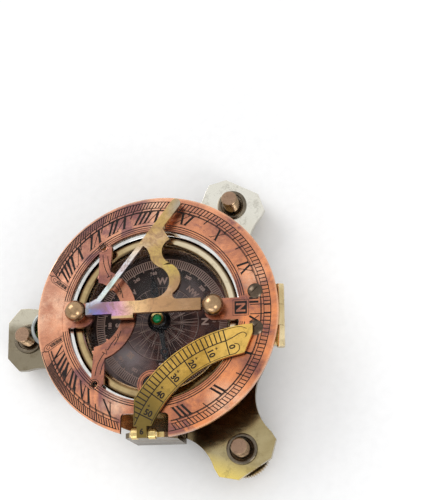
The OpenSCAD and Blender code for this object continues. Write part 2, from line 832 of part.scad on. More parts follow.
module hour_ring() {
    color(copper) placed() difference() {
        translate([0, 0, ring_low]) linear_extrude(ring_t) ring_outline();
        washer(border_r + line_w / 2, border_r - line_w / 2, ring_top - line_d, line_d + over);
        difference() {
            for (r = [minute_r, tick_r, strip_r])
                washer(r + line_w / 2, r - line_w / 2, ring_top - line_d, line_d + over);
            bare_sector();
        }
        for (h = [1 : 8]) for (s = [-1, 1]) if (s * h != -4) hour_line(s * h, hour_r, minute_r);
    }
}

hinge_leaf_x = 33.8;
hinge_leaf_gap = 0.3;

module ring_hinge_leaf() {
    color(brass) placed() translate([0, -hinge_off, 0]) difference() {
        union() {
            translate([hinge_leaf_x, -hinge_l / 2, ring_low - leaf_t])
                cube([hinge_x - knuckle_r - hinge_leaf_gap - hinge_leaf_x, hinge_l, leaf_t]);
            translate([hinge_leaf_x, -knuckle_l / 2 + knuckle_gap, ring_low - leaf_t])
                cube([hinge_x - hinge_leaf_x, knuckle_l - 2 * knuckle_gap, leaf_t]);
            translate([hinge_x, 0, hinge_z]) rotate([90, 0, 0])
                cylinder(r = knuckle_r, h = knuckle_l - 2 * knuckle_gap, center = true);
        }
        translate([hinge_x, 0, hinge_z]) rotate([90, 0, 0])
            cylinder(r = hinge_pin_r + run_gap, h = knuckle_l + 2 * over, center = true);
        for (s = [-1, 1]) translate([ring_screw_x, hinge_off + s * ring_screw_y, ring_low - leaf_t - over])
            cylinder(r = ring_screw_r, h = leaf_t + 2 * over);
    }
}

round_slot_w = 0.7;
round_slot_d = 0.5;
round_slot_turn = 45;

module ring_screws() {
    cap_r = (pow(round_head_r, 2) + pow(round_head_h, 2)) / (2 * round_head_h);
    color(steel) placed() for (s = [-1, 1]) translate([ring_screw_x, s * ring_screw_y, 0]) difference() {
        union() {
            translate([0, 0, ring_low - leaf_t])
                cylinder(r = ring_screw_r, h = ring_t + leaf_t + round_head_h / 2);
            intersection() {
                translate([0, 0, ring_top]) cylinder(r = round_head_r + over, h = round_head_h);
                translate([0, 0, ring_top + round_head_h - cap_r]) sphere(r = cap_r, $fn = 96);
            }
        }
        rotate([0, 0, round_slot_turn])
            translate([-round_head_r - over, -round_slot_w / 2, ring_top + round_head_h - round_slot_d])
            cube([2 * (round_head_r + over), round_slot_w, round_slot_d + over]);
    }
}

post_neck = 0.4;
post_collar = 0.8;
post_collar_h = 1;
rivet_h = 0.6;

module ball_post() {
    translate([0, 0, gnomon_z]) sphere(r = ball_r);
    translate([0, 0, ring_top]) cylinder(r = shank_r + post_neck, h = gnomon_rise - post_collar_h);
    translate([0, 0, ring_low - rivet_h]) cylinder(r = shank_r, h = ring_t + rivet_h + post_collar_h);
    translate([0, 0, ring_low - rivet_h]) cylinder(r = shank_r + post_collar, h = rivet_h);
    translate([0, 0, ring_top]) cylinder(r = shank_r + post_collar, h = post_collar_h);
}

// depth to which a pivot is set in the bar, and the play at its other end
pivot_in = 2;
pivot_play = 1;
pivot_bore_l = pivot_l - pivot_in + pivot_play;

module gnomon_posts() {
    color(bronze) placed() difference() {
        for (x = [-post_south, post_north]) translate([x, gnomon_y, 0]) ball_post();
        for (x = [-post_south, post_north - pivot_bore_l]) translate([x, gnomon_y, gnomon_z])
            rotate([0, 90, 0])
            cylinder(r = pivot_r + run_gap, h = pivot_bore_l);
    }
}

module eye_disc() {
    color(black) placed() translate([0, -eye_y, ring_low]) cylinder(r = eye_disc_r, h = eye_disc_t);
}

// Gnomon

hollow_x = 8.81;
hollow_y = 20.27;
cusp_reach = 5.44;
cusp_turn = 115;
scroll_out_x = 4.59;
scroll_out_y = 9.83;
scroll_in_x = 1.15;
scroll_in_y = 8.98;
scroll_cut = 1.78;
scroll_foot = 8.6;
scroll_foot_h = 2.6;
foot_fillet_r = 1.6;
leaf_neck = 0.4;
hollow_turn = -110;
// inner edge of the web above the scroll: angle, and reach past the scroll
web_turns = [72, 89.6, 96.8, 97.7, 101.1];
web_reach = [0, 1.1, 2.6, 4.4, 6.9];

// Point at distance l along the style edge and d across it.
function on_style(l, d) = [-style_foot + l * cos(style_angle) + d * sin(style_angle),
    bar_w + l * sin(style_angle) - d * cos(style_angle)];

// Point on the rim of a circle at (x, y), at angle a.
function on_rim(x, y, r, a) = [x + r * cos(a), y + r * sin(a)];

// The outline is drawn from the axis, with the leaf towards +Y.
module gnomon_outline() {
    leaf_from = style_l - leaf_l;
    leaf_to = style_l - leaf_w / 2;
    neck = on_style(leaf_from - leaf_neck, leaf_w + leaf_neck);
    cusp = on_rim(hollow_x, hollow_y, cusp_reach, cusp_turn);
    difference() {
        union() {
            outline([[-bar_south, -bar_low_w], [bar_north, -bar_low_w], [bar_north, bar_w],
                [-bar_south, bar_w]]);
            outline([on_style(-style_w, 0), on_style(leaf_to, 0), on_style(leaf_to, style_w),
                on_style(-style_w, style_w)]);
            outline([on_style(-style_w, 0), on_style(style_w, 0), on_style(0, -style_w / 2),
                on_style(-style_w, -style_w)]);
            outline([on_style(leaf_from - 2 * leaf_w, 0), on_style(leaf_to, 0), on_style(leaf_to, leaf_w),
                on_style(leaf_from, leaf_w), neck, cusp, [hollow_x, hollow_y]]);
            translate(on_style(leaf_to, leaf_w / 2)) circle(r = leaf_w / 2);
            outline(concat([on_style(opening_l, style_w / 2), on_style(leaf_from, style_w / 2), neck, cusp,
                [hollow_x, hollow_y], on_rim(hollow_x, hollow_y, hollow_r - leaf_neck, hollow_turn)],
                [for (k = [0 : 4]) on_rim(scroll_in_x, scroll_in_y, scroll_in_r + web_reach[k], web_turns[k])],
                [on_style(opening_l, style_w)]));
            difference() {
                intersection() {
                    translate([scroll_out_x, scroll_out_y]) circle(r = scroll_out_r, $fn = 96);
                    translate([scroll_in_x + scroll_cut, bar_w])
                        square([2 * scroll_out_r, 2 * scroll_out_r]);
                }
                translate([scroll_in_x, scroll_in_y]) circle(r = scroll_in_r, $fn = 96);
            }
            difference() {
                outline([[scroll_in_x - scroll_foot / 2, bar_w],
                    [scroll_in_x, bar_w + scroll_foot_h / 3],
                    [scroll_in_x + scroll_foot / 2, bar_w + scroll_foot_h],
                    [scroll_in_x + scroll_foot, bar_w + scroll_foot_h],
                    [scroll_in_x + scroll_foot, 0], [scroll_in_x - scroll_foot / 2, 0]]);
                translate([scroll_in_x, scroll_in_y]) circle(r = scroll_in_r, $fn = 96);
                translate([scroll_in_x + scroll_foot, bar_w + foot_fillet_r])
                    circle(r = foot_fillet_r, $fn = 32);
            }
            translate([-lug_x, -lug_y]) square([lug_w, lug_y]);
        }
        translate([hollow_x, hollow_y]) circle(r = hollow_r, $fn = 96);
    }
}

module gnomon() {
    color(brass) placed() translate([0, gnomon_y, gnomon_z]) difference() {
        translate([0, 0, -gnomon_t / 2]) linear_extrude(gnomon_t) gnomon_outline();
        for (x = [-bar_south - over, bar_north - pivot_in]) translate([x, 0, 0]) rotate([0, 90, 0])
            cylinder(r = pivot_r, h = pivot_in + over);
    }
}

module gnomon_pivots() {
    color(steel) placed() for (x = [-bar_south + pivot_in - pivot_l, bar_north - pivot_in])
        translate([x, gnomon_y, gnomon_z]) rotate([0, 90, 0]) cylinder(r = pivot_r, h = pivot_l);
}

// Latitude arc

arc_end_y = 40.1;
arc_side_x = 5.4;
// the slanted end near the north mark: root of the slant, its nose and its outer corner
arc_slant_x = 29.4;
arc_slant_y = 16.9;
arc_nose_x = 33.2;
arc_nose_y = 15.8;
arc_tip_x = 36.1;
arc_tip_y = 8.9;
tongue_lap = 1;
ear_step = 0.2;
arc_eye_r = ear_r - ear_step;

module arc_outline() {
    intersection() {
        translate([arc_cx, -arc_cy]) difference() {
            circle(r = arc_out_r, $fn = 200);
            circle(r = arc_in_r, $fn = 200);
        }
        outline([[-arc_side_x, -arc_end_y], [arc_cx, -arc_end_y], [arc_slant_x, -arc_slant_y],
            [arc_nose_x, -arc_nose_y], [arc_tip_x, -arc_tip_y], [arc_tip_x, 0], [-arc_side_x, 0]]);
    }
}

module latitude_arc() {
    half = tongue_w / 2;
    drop = arc_z - arc_axis_z;
    color(brass) placed() difference() {
        union() {
            translate([0, 0, arc_z]) linear_extrude(arc_t) arc_outline();
            translate([-arc_hinge_x - half, -arc_axis_y - ear_r, arc_z])
                cube([tongue_w, ear_r + arc_axis_y - arc_end_y + tongue_lap, arc_t]);
            translate([-arc_hinge_x - half, -arc_axis_y - arc_eye_r, arc_axis_z])
                cube([tongue_w, 2 * arc_eye_r, drop + arc_t / 2]);
            translate([-arc_hinge_x, -arc_axis_y, arc_axis_z]) rotate([0, 90, 0])
                cylinder(r = arc_eye_r, h = tongue_w, center = true);
        }
        translate([-arc_hinge_x, -arc_axis_y, arc_axis_z]) rotate([0, 90, 0])
            cylinder(r = arc_pin_r + run_gap, h = tongue_w + 2 * over, center = true);
    }
}

// Needle

needle_waist = 1.1;
needle_neck = 0.6;
needle_point = 0.2;
needle_eye_x = 11.6;
needle_eye_r = 1.5;
needle_eye_hole_r = 0.8;
needle_hole_r = 1.9;
needle_disc_r = 2.9;
needle_tail = 1.6;
spear_root = 1.2;
spear_barb = 1.8;
spear_l = 4.4;
spear_north_w = 1.5;
spear_south_w = 0.9;

// One arm of the needle, pointing along +X.
module needle_arm(reach, spear) {
    difference() {
        union() {
            outline([[needle_hole_r, -needle_waist], [needle_hole_r, needle_waist],
                [needle_eye_x, needle_neck],
                [reach, needle_point], [reach, -needle_point], [needle_eye_x, -needle_neck]]);
            translate([needle_eye_x, 0]) circle(r = needle_eye_r, $fn = 32);
            translate([needle_eye_x, 0]) outline([[spear_root, 0], [spear_barb, spear],
                [spear_l, needle_point],
                [spear_l, -needle_point], [spear_barb, -spear]]);
        }
        translate([needle_eye_x, 0]) circle(r = needle_eye_hole_r, $fn = 32);
    }
}

module needle_blade() {
    color(black) placed() translate([0, 0, needle_z])
        rotate([0, 0, needle_turn]) linear_extrude(needle_t)
        difference() {
            union() {
                needle_arm(needle_l, spear_north_w);
                rotate(180) needle_arm(needle_l - needle_tail, spear_south_w);
                circle(r = needle_disc_r);
            }
            circle(r = needle_hole_r);
        }
}

hub_rim_h = 0.8;
hub_step = 0.4;
hub_bore_top = 0.6;

module needle_hub() {
    rim_z = needle_z + needle_t;
    color(black) placed() difference() {
        union() {
            translate([0, 0, hub_z]) cylinder(r = needle_hole_r, h = rim_z + hub_rim_h / 2 - hub_z);
            translate([0, 0, rim_z]) cylinder(r = hub_r, h = hub_rim_h);
            translate([0, 0, rim_z + hub_rim_h])
                cylinder(r1 = hub_r, r2 = collar_r + hub_step, h = hub_top - rim_z - hub_rim_h);
        }
        translate([0, 0, hub_z - over])
            cylinder(r = point_r + run_gap, h = hub_top - hub_bore_top - hub_z + over);
    }
}

facet_h = 0.4;
facet_in = 0.6;
collar_drop = 0.3;

module jewel_collar() {
    color(brass) placed() washer(collar_r, jewel_r, hub_top, jewel_top - hub_top - collar_drop);
}

module jewel() {
    color(green) placed() union() {
        translate([0, 0, hub_top]) cylinder(r = jewel_r, h = jewel_top - hub_top - facet_h);
        translate([0, 0, jewel_top - facet_h])
            cylinder(r1 = jewel_r, r2 = jewel_r - facet_in, h = facet_h, $fn = 8);
    }
}

// Levelling feet

wheel_boss_r = 5;
wheel_boss_h = 0.8;
thread_gap = 0.2;
thread_end = 0.6;
// shares of a pitch at which a groove begins, is deepest and ends
groove_steps = [0.1, 0.5, 0.9];
pad_edge = 0.5;
stud_edge = 0.4;
thread_z = wheel_z + wheel_t + wheel_boss_h + thread_gap;
stud_top = bush_top + stud_rise;
thread_n = floor((stud_top - thread_end - thread_z) / thread_pitch);

module foot_screw(i) {
    color(bronze) placed() at_foot(i) rotate_extrude($fn = 48) polygon(concat(
        [[0, 0], [pad_r - pad_edge, 0], [pad_r, pad_edge], [pad_r, pad_h - pad_edge],
            [pad_r - pad_edge, pad_h],
            [stud_r, pad_h]],
        [for (k = [0 : thread_n - 1]) for (j = [0 : 2])
            [stud_r - (j == 1 ? thread_d : 0), thread_z + (k + groove_steps[j]) * thread_pitch]],
        [[stud_r, stud_top - stud_edge], [stud_r - stud_edge, stud_top], [0, stud_top]]));
}

// Corner k of the ridged outline of a thumb wheel.
function ridge_r(k) = k % 2 == 0 ? wheel_r : wheel_r - ridge_d;

module thumb_wheel(i) {
    color(brass) placed() at_foot(i) difference() {
        union() {
            translate([0, 0, wheel_z]) linear_extrude(wheel_t)
                outline([for (k = [0 : 2 * wheel_ridges - 1]) on_rim(0, 0, ridge_r(k), k * 180 / wheel_ridges)]);
            translate([0, 0, wheel_z + wheel_t]) cylinder(r = wheel_boss_r, h = wheel_boss_h);
        }
        translate([0, 0, wheel_z - over]) cylinder(r = stud_r, h = wheel_t + wheel_boss_h + 2 * over);
    }
}

module foot_screw_nw() { foot_screw(0); }
module foot_screw_s() { foot_screw(1); }
module foot_screw_ne() { foot_screw(2); }
module thumb_wheel_nw() { thumb_wheel(0); }
module thumb_wheel_s() { thumb_wheel(1); }
module thumb_wheel_ne() { thumb_wheel(2); }

base_plate();
foot_bushes();
compass_case();
plate_screws();
compass_bowl();
compass_card();
needle_pivot();
spacer_ring();
compass_glass();
glass_bezel();
ring_hinge_bracket();
ring_hinge_pin();
bracket_screws();
arc_bracket();
arc_hinge_pin();
level_cup();
level_fluid();
level_glass();
hour_ring();
ring_hinge_leaf();
ring_screws();
gnomon_posts();
eye_disc();
gnomon();
gnomon_pivots();
latitude_arc();
needle_blade();
needle_hub();
jewel_collar();
jewel();
foot_screw_nw();
thumb_wheel_nw();
foot_screw_s();
thumb_wheel_s();
foot_screw_ne();
thumb_wheel_ne();
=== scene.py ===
"""Looks of the folding sundial with compass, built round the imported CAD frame.

Directions: +X is the north mark of the hour ring, +Y its west mark, +Z up. Sizes are in millimetres
and become metres through MM, apart from those of the stage. Ring coordinates are measured from the
centre of the ring's engraved circles, which lies over the centre of the case.
"""

import json
import math

import bmesh
import bpy
from mathutils import Euler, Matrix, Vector


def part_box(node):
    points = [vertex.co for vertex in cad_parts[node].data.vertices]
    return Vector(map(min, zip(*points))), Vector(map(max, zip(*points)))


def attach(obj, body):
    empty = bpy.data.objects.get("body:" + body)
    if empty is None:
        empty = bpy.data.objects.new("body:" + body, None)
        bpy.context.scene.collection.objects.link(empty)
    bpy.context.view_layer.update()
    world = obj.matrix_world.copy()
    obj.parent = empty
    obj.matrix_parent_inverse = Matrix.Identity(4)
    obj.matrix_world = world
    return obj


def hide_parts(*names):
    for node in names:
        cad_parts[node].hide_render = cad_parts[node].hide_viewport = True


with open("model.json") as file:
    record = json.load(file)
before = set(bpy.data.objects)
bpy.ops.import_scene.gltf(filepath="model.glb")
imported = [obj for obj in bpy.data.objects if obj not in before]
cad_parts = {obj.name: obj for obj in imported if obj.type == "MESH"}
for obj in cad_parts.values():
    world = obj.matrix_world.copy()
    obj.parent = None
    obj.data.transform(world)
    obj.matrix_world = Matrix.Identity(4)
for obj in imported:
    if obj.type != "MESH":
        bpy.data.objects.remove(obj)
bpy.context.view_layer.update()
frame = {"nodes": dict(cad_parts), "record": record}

MM = 0.001
NODES = frame["nodes"]
BODY = {node: name for name, nodes in frame["record"]["behaviour"]["bodies"].items() for node in nodes}


# Places taken from the frame

def middle(node):
    """Centre of a CAD node's box, in millimetres."""
    low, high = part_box(node)
    return (low + high) / 2 / MM


def top_of(node):
    """Highest point of a CAD node, in millimetres."""
    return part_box(node)[1].z / MM


CENTRE_X = middle("compass_case").x
CENTRE_Y = middle("compass_case").y
RING_TOP = top_of("hour_ring")
CARD_TOP = top_of("compass_card")
ARC_TOP = top_of("latitude_arc")
EYE_TOP = top_of("eye_disc")
# how far the ring's rim is set off to the north of its engraved circles
RING_ECC = middle("hour_ring").x - CENTRE_X


def placed(x, y, z):
    """A point in ring coordinates as a point of the frame, in metres."""
    return Vector((x + CENTRE_X, y + CENTRE_Y, z)) * MM


def polar(radius, degrees, cx=0.0, cy=0.0):
    """A point on a circle about (cx, cy)."""
    angle = math.radians(degrees)
    return (cx + radius * math.cos(angle), cy + radius * math.sin(angle))


def new_object(name, data):
    """An object in the scene, made from its data."""
    made = bpy.data.objects.new(name, data)
    bpy.context.collection.objects.link(made)
    return made


# Camera, at the photograph's viewing angle: its place in ring coordinates and its turn in degrees

CAMERA_SPOT = (87.78, -96.42, 389.2)
CAMERA_TURN = (18.19, 10.16, -0.02)
SENSOR = 36
FOCAL_PIXELS = 1065.6
PHOTO_HEIGHT = 500


def make_camera():
    """The camera that gives the photograph's view."""
    data = bpy.data.cameras.new("camera")
    data.sensor_width = SENSOR
    data.lens = FOCAL_PIXELS * SENSOR / PHOTO_HEIGHT
    camera = new_object("camera", data)
    camera.location = placed(*CAMERA_SPOT)
    camera.rotation_euler = Euler([math.radians(a) for a in CAMERA_TURN])
    bpy.context.scene.camera = camera


# Materials

# the colour sockets of the Mix node, which share their names with its number and vector sockets
MIX_AMOUNT, MIX_FIRST, MIX_SECOND, MIX_RESULT = 0, 6, 7, 2


class Shader:
    """A small helper that strings shader nodes together."""

    def __init__(self, name):
        self.material = bpy.data.materials.new(name)
        self.material.use_nodes = True
        self.tree = self.material.node_tree
        self.shader = self.tree.nodes["Principled BSDF"]
        self.place = self.node("ShaderNodeTexCoord").outputs["Object"]

    def node(self, kind, **settings):
        """A new node with the given settings."""
        made = self.tree.nodes.new(kind)
        for key, value in settings.items():
            setattr(made, key, value)
        return made

    def link(self, source, target):
        self.tree.links.new(source, target)

    def set(self, **values):
        """Plain values for the shader's own sockets, with _ for a space in a name."""
        for key, value in values.items():
            self.shader.inputs[key.replace("_", " ")].default_value = value

    def feed(self, socket, source):
        """Link a value to one of the shader's sockets."""
        self.link(source, self.shader.inputs[socket])

    def noise(self, scale, detail=4.0, rough=0.6, stretch=(1, 1, 1), shift=(0, 0, 0), distortion=0.0):
        """Noise over the object's own coordinates. Scale is in cells per metre."""
        mapping = self.node("ShaderNodeMapping")
        mapping.inputs["Scale"].default_value = stretch
        mapping.inputs["Location"].default_value = shift
        self.link(self.place, mapping.inputs["Vector"])
        made = self.node("ShaderNodeTexNoise")
        values = {"Scale": scale, "Detail": detail, "Roughness": rough, "Distortion": distortion}
        for socket, value in values.items():
            made.inputs[socket].default_value = value
        self.link(mapping.outputs["Vector"], made.inputs["Vector"])
        return made.outputs["Fac"]

    def ramp(self, source, stops):
        """Stops are (place, value) with a value that is a number or a colour."""
        made = self.node("ShaderNodeValToRGB")
        elements = made.color_ramp.elements
        while len(elements) < len(stops):
            elements.new(0.5)
        for element, (spot, value) in zip(elements, stops):
            element.position = spot
            element.color = (value, value, value, 1) if isinstance(value, (int, float)) else (*value, 1)
        self.link(source, made.inputs["Fac"])
        return made.outputs["Color"]

    def mix(self, amount, first, second):
        """A blend from first to second. Each is a socket or a colour, and amount a socket or a number."""
        made = self.node("ShaderNodeMix", data_type="RGBA")
        for index, value in ((MIX_AMOUNT, amount), (MIX_FIRST, first), (MIX_SECOND, second)):
            if isinstance(value, bpy.types.NodeSocket):
                self.link(value, made.inputs[index])
            elif isinstance(value, (int, float)):
                made.inputs[index].default_value = value
            else:
                made.inputs[index].default_value = (*value, 1)
        return made.outputs[MIX_RESULT]

    def times(self, first, second):
        """The product of two values."""
        made = self.node("ShaderNodeMath", operation="MULTIPLY")
        self.link(first, made.inputs[0])
        self.link(second, made.inputs[1])
        return made.outputs["Value"]

    def spread(self, source, low, high):
        """Carries low..high of a value to 0..1."""
        made = self.node("ShaderNodeMapRange")
        made.inputs["From Min"].default_value = low
        made.inputs["From Max"].default_value = high
        self.link(source, made.inputs["Value"])
        return made.outputs["Result"]

    def along(self, direction, low, high, wobble=None, reach=0.0):
        """0 to 1 along a direction, from low to high in millimetres about the ring centre."""
        unit = Vector(direction).normalized()
        dot = self.node("ShaderNodeVectorMath", operation="DOT_PRODUCT")
        self.link(self.place, dot.inputs[0])
        dot.inputs[1].default_value = unit
        start = unit.dot(placed(0, 0, 0))
        value = dot.outputs["Value"]
        if wobble is not None:
            push = self.node("ShaderNodeMath", operation="MULTIPLY_ADD")
            self.link(wobble, push.inputs[0])
            push.inputs[1].default_value = reach * MM
            self.link(value, push.inputs[2])
            value = push.outputs["Value"]
        return self.spread(value, start + low * MM, start + high * MM)

    def away(self, low, high, cx=0.0, cy=0.0):
        """0 to 1 with the plan distance from (cx, cy), from low to high in millimetres."""
        flat = self.node("ShaderNodeVectorMath", operation="MULTIPLY")
        self.link(self.place, flat.inputs[0])
        flat.inputs[1].default_value = (1, 1, 0)
        far = self.node("ShaderNodeVectorMath", operation="DISTANCE")
        self.link(flat.outputs["Vector"], far.inputs[0])
        far.inputs[1].default_value = placed(cx, cy, 0)
        return self.spread(far.outputs["Value"], low * MM, high * MM)

    def bump(self, source, strength, depth):
        """Relief from a value, with its depth in millimetres."""
        made = self.node("ShaderNodeBump")
        made.inputs["Strength"].default_value = strength
        made.inputs["Distance"].default_value = depth * MM
        self.link(source, made.inputs["Height"])
        self.feed("Normal", made.outputs["Normal"])


SCRATCH_SCALE = 420
SCRATCH_STRETCH = (0.12, 1, 1)
SCRATCH_DEPTH = 0.03
METAL_GRAIN = 2600
METAL_RELIEF = 0.1
STAIN_SHARE = 0.5
STAIN_FINER = 5


def aged_metal(name, light, dark, stain, rough, patch, stretch=(1, 1, 1), tint=None):
    """Metal with soft patches of tarnish, fine stains and a brushed or cast grain.

    rough is the least and the most roughness, and patch the number of patches in a metre. tint is an
    optional function that takes the shader and the colour so far, and gives the colour back.
    """
    s = Shader(name)
    patches = s.noise(patch, detail=5, rough=0.62, distortion=0.6)
    colour = s.mix(s.ramp(patches, [(0.36, 0), (0.66, 1)]), light, dark)
    if tint:
        colour = tint(s, colour)
    spots = s.noise(patch * STAIN_FINER, detail=8, rough=0.75)
    colour = s.mix(s.ramp(spots, [(0.52, 0), (0.74, STAIN_SHARE)]), colour, stain)
    s.feed("Base Color", colour)
    fine = s.noise(METAL_GRAIN, detail=3, rough=0.6, stretch=stretch)
    streaks = s.noise(SCRATCH_SCALE, detail=4, rough=0.8, stretch=SCRATCH_STRETCH)
    scratches = s.ramp(streaks, [(0.56, 0), (0.66, 1)])
    rubbed = s.mix(0.35, s.mix(0.5, patches, fine), scratches)
    s.feed("Roughness", s.ramp(rubbed, [(0.25, rough[0]), (0.65, rough[1])]))
    s.bump(s.mix(0.3, fine, scratches), METAL_RELIEF, SCRATCH_DEPTH)
    s.set(Metallic=1.0)
    return s.material


COAT_GRAIN = 2500
COAT_PATCH = 180
COAT_DEPTH = 0.02


def plain_coat(name, colour, rough, metallic=0.0, bump=0.1, wear=None, **extra):
    """Paint, ink or enamel with a faint grain. wear is the colour of its worn patches."""
    s = Shader(name)
    fine = s.noise(COAT_GRAIN, detail=3)
    broad = s.noise(COAT_PATCH, detail=4)
    worn = wear or tuple(min(1, c * 1.6 + 0.01) for c in colour)
    s.feed("Base Color", s.mix(s.ramp(broad, [(0.35, 0), (0.75, 0.6)]), colour, worn))
    s.feed("Roughness", s.ramp(fine, [(0.3, rough * 0.8), (0.7, rough * 1.2)]))
    s.bump(fine, bump, COAT_DEPTH)
    s.set(Metallic=metallic, **extra)
    return s.material


GLASS_IOR = 1.5
GLASS_ROUGH = 0.015
FACE_SHINE = 0.005
EDGE_SHINE = 0.5
SMEAR = (0.8, 0.86, 0.9)


def clear_glass(name, colour):
    """Thin clear glass: see-through face on, with mirror gloss that grows towards the edge of sight."""
    s = Shader(name)
    film = s.noise(60, detail=3)
    s.feed("Base Color", s.mix(s.ramp(film, [(0.3, 0), (0.8, 0.4)]), colour, SMEAR))
    s.feed("Roughness", s.ramp(film, [(0.3, GLASS_ROUGH), (0.8, GLASS_ROUGH * 3)]))
    fresnel = s.node("ShaderNodeFresnel")
    fresnel.inputs["IOR"].default_value = GLASS_IOR
    s.feed("Alpha", s.ramp(fresnel.outputs["Fac"], [(0.0, 0), (0.05, FACE_SHINE), (0.6, EDGE_SHINE)]))
    s.set(Metallic=1.0)
    return s.material


# Tints: what each metal's colour does from place to place

PLUM = (0.13, 0.055, 0.07)
# dark stain colour, also used for one painted shadow
SOOT_AND_SHADOW = (0.07, 0.035, 0.03)
CREAM = (0.92, 0.60, 0.42)

# stains and rubbed places on the ring, and one painted shadow under the gnomon bar: centre x and y, reach and
# colour
STAINS = (
    (24, 29.5, 8, PLUM),
    (31.5, 7.5, 6, PLUM),
    (-35, -20, 8, SOOT_AND_SHADOW),
    (12, -33, 9, PLUM),
    (37, -21, 7, PLUM),
    (-26, 28, 6, PLUM),
    (2, 39, 8, CREAM),
    (-13, -31, 7, CREAM),
    (-38, 3, 10, CREAM),
    (27, -32, 9, CREAM),
    # painted shadow under the gnomon bar, over the lower arm of the arch
    (-9, -6, 7, SOOT_AND_SHADOW),
    (32, 2, 5, PLUM),
    (2, 33, 5, CREAM),
    (36, 12, 6, CREAM),
)


def ring_tint(s, colour):
    """Painted reflection from rose in the north west to orange in the south east, brown and purple patches,
    painted shade along the inner edge and over the hour marks, stains with one painted shadow, a worn rim.
    """
    orange = (0.86, 0.32, 0.13)
    brown = (0.34, 0.14, 0.10)
    purple = (0.17, 0.08, 0.10)
    painted_shade = (0.28, 0.11, 0.08)
    worn = (0.85, 0.50, 0.32)
    slow = s.noise(28, detail=3, rough=0.5)
    # painted reflection: paler rose where the ring would mirror more light, orange in the south east where it
    # mirrors less
    colour = s.mix(s.along((0.75, -0.65, 0), -30, 40, slow, 26), colour, orange)
    patches = s.noise(38, detail=8, rough=0.72, shift=(0.7, 2.2, 0), distortion=0.8)
    colour = s.mix(s.ramp(patches, [(0.45, 0), (0.62, 0.75)]), colour, brown)
    patches = s.noise(44, detail=7, rough=0.7, shift=(3.1, 0.4, 0), distortion=1.2)
    colour = s.mix(s.ramp(patches, [(0.52, 0), (0.62, 0.8)]), colour, purple)
    # painted shade along the inner edge of the ring and over the band of hour marks
    bands = [(0.0, 0.5), (0.12, 0), (0.4, 0), (0.55, 0.3), (0.8, 0.3), (0.9, 0)]
    colour = s.mix(s.ramp(s.away(31, 44), bands), colour, painted_shade)
    cloud = s.ramp(s.noise(120, detail=7, rough=0.75), [(0.36, 0), (0.6, 1)])
    for cx, cy, reach, stain in STAINS:
        spot = s.ramp(s.away(0, reach, cx, cy), [(0.2, 0.85), (1.0, 0)])
        colour = s.mix(s.times(spot, cloud), colour, stain)
    rim = s.ramp(s.away(42.7, 43.8, RING_ECC, 0), [(0.2, 0), (0.8, 0.6)])
    return s.mix(rim, colour, worn)


# heat film on the gnomon, from the south end of its bar to the north end
HEAT_COLOURS = [
    (0.05, (0.30, 0.22, 0.15)),
    (0.15, (0.34, 0.56, 0.62)),
    (0.23, (0.12, 0.20, 0.56)),
    (0.31, (0.28, 0.16, 0.52)),
    (0.39, (0.78, 0.40, 0.52)),
    (0.47, (0.86, 0.56, 0.28)),
    (0.60, (0.56, 0.32, 0.16)),
    (0.95, (0.24, 0.14, 0.07)),
]
LEAF_SPOT = (12.5, 37.0)


def gnomon_tint(s, colour):
    """Heat colours over the south half of the bar and the style, gold and brown beyond, a grey worn leaf, and
    a mint and lilac painted highlight along the style.
    """
    gold = (0.60, 0.46, 0.12)
    rose = (0.74, 0.50, 0.34)
    grey = (0.40, 0.40, 0.39)
    brass = (0.62, 0.44, 0.18)
    mint = (0.66, 0.86, 0.82)
    lilac = (0.86, 0.74, 0.86)
    brown = (0.30, 0.17, 0.10)
    dark = (0.22, 0.17, 0.11)
    slow = s.noise(60, detail=3, rough=0.5, shift=(1.3, 0, 0))
    film = s.ramp(s.along((1, 0.1, 0), -26, 30, slow, 12), HEAT_COLOURS)
    colour = s.mix(0.92, colour, film)
    scroll = s.along((-0.35, 1, 0), 4, 34, slow, 14)
    colour = s.mix(s.ramp(scroll, [(0.3, 0), (0.5, 0.85), (0.62, 0.5), (0.9, 0.4)]), colour, gold)
    patches = s.noise(110, detail=5, shift=(4, 4, 0))
    colour = s.mix(s.ramp(patches, [(0.48, 0), (0.62, 0.5)]), colour, rose)
    bar = s.along((0, -1, 0), -5, -3.4, slow, 1)
    colour = s.mix(s.ramp(bar, [(0.2, 0), (0.8, 0.75)]), colour, film)
    colour = s.mix(s.ramp(s.away(0, 9, *LEAF_SPOT), [(0.25, 0.75), (0.8, 0)]), colour, grey)
    lug = s.along((0, -1, 0), 0.8, 2.2)
    colour = s.mix(s.ramp(lug, [(0.3, 0), (0.7, 0.8)]), colour, brass)
    # painted highlight: a mint and lilac strip along the style
    beside = s.along((-0.75, 0.66, 0), 15.5, 17.5, slow, 1)
    length = s.ramp(s.along((0, 1, 0), 2, 30, slow, 3), [(0.04, 0), (0.16, 0.9), (0.6, 0.9), (0.9, 0)])
    painted_highlight = s.mix(s.ramp(s.noise(45, detail=2, shift=(0, 5, 0)), [(0.4, 0), (0.6, 1)]), mint, lilac)
    colour = s.mix(s.times(beside, length), colour, painted_highlight)
    cloud = s.noise(150, detail=7, rough=0.7, shift=(2.6, 1.1, 0), distortion=1.4)
    colour = s.mix(s.ramp(cloud, [(0.47, 0), (0.62, 0.6)]), colour, brown)
    specks = s.noise(900, detail=5, rough=0.75)
    return s.mix(s.ramp(specks, [(0.58, 0), (0.72, 0.55)]), colour, dark)


def arc_tint(s, colour):
    """Darker and greener towards the tongue, brighter at the scrolled end."""
    olive = (0.15, 0.11, 0.035)
    rubbed = (0.84, 0.54, 0.14)
    dark = (0.20, 0.14, 0.04)
    slow = s.noise(50, detail=3)
    low = s.ramp(s.along((-0.6, -0.8, 0), 2, 40, slow, 8), [(0.15, 0), (0.8, 0.9)])
    colour = s.mix(low, colour, olive)
    # brighter towards the scrolled end
    tip = s.ramp(s.along((1, 0, 0), 20, 34, slow, 8), [(0.2, 0), (0.9, 0.7)])
    colour = s.mix(tip, colour, rubbed)
    specks = s.ramp(s.noise(300, detail=7, rough=0.8), [(0.5, 0), (0.68, 0.6)])
    return s.mix(specks, colour, dark)


